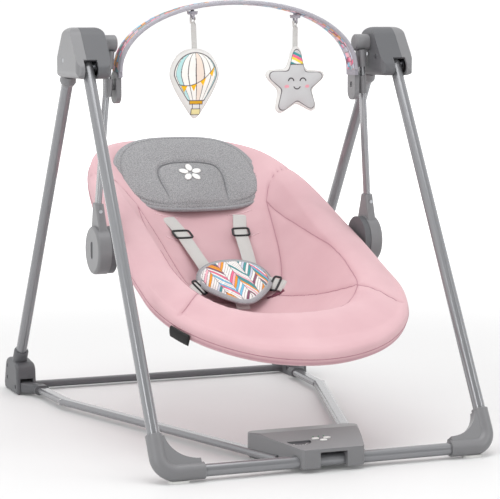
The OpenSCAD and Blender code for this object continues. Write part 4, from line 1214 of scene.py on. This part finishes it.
def unit_marks():
    """Printed figures 0 to 5 round the dial, and three green lights behind the keys."""
    centre = 1000 * np.array(JOINTS["speed_dial_turn"]["pos_m"], float)
    side = np.array([1.0, 0.0, 0.0])
    fore = np.cross(LID, side)
    lift = -2.5
    for k, strokes in enumerate(FIGURES):
        a = np.radians(-150 + 24 * k)
        out = np.cos(a) * side + np.sin(a) * fore
        run = np.cross(LID, out)
        at = centre + 13.2 * out + lift * LID
        line = np.array([at + (u - 1) * 0.75 * run - (v - 2) * 0.8 * out for u, v in strokes])
        path = resample(line, 0.3)
        mark = sweep(
            f"dial_figure_{k}", path, np.broadcast_to(LID, path.shape), flat_section(0.75, 0.28), "white"
        )
        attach(mark, "dial")
    for i in (-1, 0, 1):
        spot = centre + np.array([41.0 + 9 * i, 17.0, 17.0 * -LID[1] / LID[2] - 0.2])
        disc(f"status_light_{i + 1}", spot, LID, 1.2, 0.5, "green_lamp", "base_loop")


# ------------------------------------------------------------------ CAD finishes, studio


def finish_frame():
    """Gives every CAD node its finish."""
    part_slot = {p["node"]: p["material_slot"] for p in frame["record"]["subparts"]}
    for name, obj in frame["nodes"].items():
        m = MATERIALS[SLOT_FINISH[part_slot[name]]]
        if not obj.data.materials:
            obj.data.materials.append(m)
        for i in range(len(obj.data.materials)):
            obj.data.materials[i] = m


def area_light(name, at, to, size, power):
    """Rectangular soft box aimed at a point."""
    data = bpy.data.lights.new(name, "AREA")
    data.shape = "RECTANGLE"
    data.size, data.size_y = size
    data.energy = power
    obj = bpy.data.objects.new(name, data)
    obj.location = at
    obj.rotation_euler = (Vector(to) - Vector(at)).to_track_quat("-Z", "Y").to_euler()
    bpy.context.scene.collection.objects.link(obj)
    return obj


def studio(look):
    """Plain pale floor, soft boxes, a bright even world and the camera."""
    bpy.ops.mesh.primitive_plane_add(size=60, location=(0, 0, 0))
    floor = bpy.context.object
    floor.name = "studio_floor"
    floor.data.materials.append(MATERIALS["floor"])
    world = bpy.data.worlds.new("studio_world")
    world.use_nodes = True
    # white ahead and to the sides, grey behind the camera, so that round tubes show dark and light streaks
    tree = world.node_tree
    tree.nodes["Background"].inputs[0].default_value = linear("#ffffff")
    sky = add(tree, "ShaderNodeTexCoord")
    parts = add(tree, "ShaderNodeSeparateXYZ", {0: sky.outputs["Generated"]})
    fade = add(
        tree,
        "ShaderNodeMapRange",
        {0: parts.outputs[1], 1: -0.85, 2: 0.1, 3: 0.35, 4: 1.0},
        interpolation_type="SMOOTHSTEP",
    )
    level = add(tree, "ShaderNodeMath", {0: fade.outputs[0], 1: look.world_strength}, operation="MULTIPLY")
    tree.links.new(level.outputs[0], tree.nodes["Background"].inputs[1])
    scene = bpy.context.scene
    scene.world = world
    area_light("top_soft_box", (-0.3, -0.6, 3.2), (0, 0, 0.35), (2.4, 2.4), look.key_power)
    area_light("left_strip", (-2.6, -1.9, 1.3), (0, 0, 0.4), (0.3, 2.4), look.key_power * 0.45)
    area_light("right_strip", (2.2, -2.3, 1.3), (0, 0, 0.4), (0.3, 2.4), look.key_power * 0.4)
    scene.view_settings.view_transform = "Standard"
    data = bpy.data.cameras.new("camera")
    data.lens = look.lens_mm
    data.sensor_width = 36
    data.clip_end = 200
    cam = bpy.data.objects.new("camera", data)
    a, e = look.azimuth, look.elevation
    back = Vector((np.sin(a) * np.cos(e), -np.cos(a) * np.cos(e), np.sin(e)))
    right = Vector((np.cos(a), np.sin(a), 0))
    up = back.cross(right)
    cam.matrix_world = Matrix(
        (
            (right.x, up.x, back.x, look.camera_at[0]),
            (right.y, up.y, back.y, look.camera_at[1]),
            (right.z, up.z, back.z, look.camera_at[2]),
            (0, 0, 0, 1),
        )
    )
    scene.collection.objects.link(cam)
    scene.camera = cam


# ------------------------------------------------------------------ add-on


class SwingStudio(bpy.types.PropertyGroup):
    """Camera and light settings."""

    azimuth: bpy.props.FloatProperty(
        name="Azimuth",
        description="Turn of the camera about the swing",
        default=np.radians(-21.509),
        subtype="ANGLE",
    )
    elevation: bpy.props.FloatProperty(
        name="Elevation",
        description="Height angle of the camera",
        default=np.radians(6.618),
        subtype="ANGLE",
    )
    lens_mm: bpy.props.FloatProperty(
        name="Lens", description="Focal length", default=144.95, unit="CAMERA"
    )
    camera_at: bpy.props.FloatVectorProperty(
        name="Camera",
        description="Place of the camera",
        default=(-1.251, -3.262, 0.706),
        size=3,
        subtype="TRANSLATION",
    )
    key_power: bpy.props.FloatProperty(
        name="Key light", description="Power of the key soft box", default=46.0, unit="POWER"
    )
    world_strength: bpy.props.FloatProperty(
        name="World", description="Brightness of the even surround", default=1.03
    )


class SWING_OT_finishes(bpy.types.Operator):
    """Makes the finishes and gives them to the CAD frame"""

    bl_idname = "swing.finishes"
    bl_label = "Finishes"

    def execute(self, context):
        make_materials()
        finish_frame()
        return {"FINISHED"}


class SWING_OT_seat(bpy.types.Operator):
    """Builds the padded sling with its seams"""

    bl_idname = "swing.seat"
    bl_label = "Seat"

    def execute(self, context):
        seat_sling()
        seat_threads()
        side_tag()
        return {"FINISHED"}


class SWING_OT_pillow(bpy.types.Operator):
    """Builds the head pillow"""

    bl_idname = "swing.pillow"
    bl_label = "Head pillow"

    def execute(self, context):
        head_pillow()
        return {"FINISHED"}


class SWING_OT_harness(bpy.types.Operator):
    """Builds the straps, slides and crotch pad"""

    bl_idname = "swing.harness"
    bl_label = "Harness"

    def execute(self, context):
        harness()
        crotch_pad()
        return {"FINISHED"}


class SWING_OT_toys(bpy.types.Operator):
    """Builds the toy bar's cover and the hanging toys"""

    bl_idname = "swing.toys"
    bl_label = "Toys"

    def execute(self, context):
        bar_cover()
        toys()
        return {"FINISHED"}


class SWING_OT_unit_marks(bpy.types.Operator):
    """Adds the dial's figures and the status lights"""

    bl_idname = "swing.unit_marks"
    bl_label = "Control unit marks"

    def execute(self, context):
        unit_marks()
        return {"FINISHED"}


class SWING_OT_studio(bpy.types.Operator):
    """Adds the floor, the lights and the camera"""

    bl_idname = "swing.studio"
    bl_label = "Studio"

    def execute(self, context):
        studio(context.scene.swing_studio)
        return {"FINISHED"}


STEPS = (
    SWING_OT_finishes,
    SWING_OT_seat,
    SWING_OT_pillow,
    SWING_OT_harness,
    SWING_OT_toys,
    SWING_OT_unit_marks,
    SWING_OT_studio,
)


class SWING_PT_panel(bpy.types.Panel):
    """The steps of the build, in order"""

    bl_idname = "SWING_PT_panel"
    bl_label = "Baby swing"
    bl_space_type = "VIEW_3D"
    bl_region_type = "UI"
    bl_category = "Swing"

    def draw(self, context):
        look = context.scene.swing_studio
        for key in ("azimuth", "elevation", "lens_mm", "camera_at", "key_power", "world_strength"):
            self.layout.prop(look, key)
        for step in STEPS:
            self.layout.operator(step.bl_idname)


CLASSES = (SwingStudio, *STEPS, SWING_PT_panel)


def register():
    for c in CLASSES:
        bpy.utils.register_class(c)
    bpy.types.Scene.swing_studio = bpy.props.PointerProperty(type=SwingStudio)


def unregister():
    del bpy.types.Scene.swing_studio
    for c in reversed(CLASSES):
        bpy.utils.unregister_class(c)


def main():
    register()
    for step in STEPS:
        group, name = step.bl_idname.split(".")
        getattr(getattr(bpy.ops, group), name)()
    bpy.context.view_layer.update()


if __name__ == "__main__":
    main()
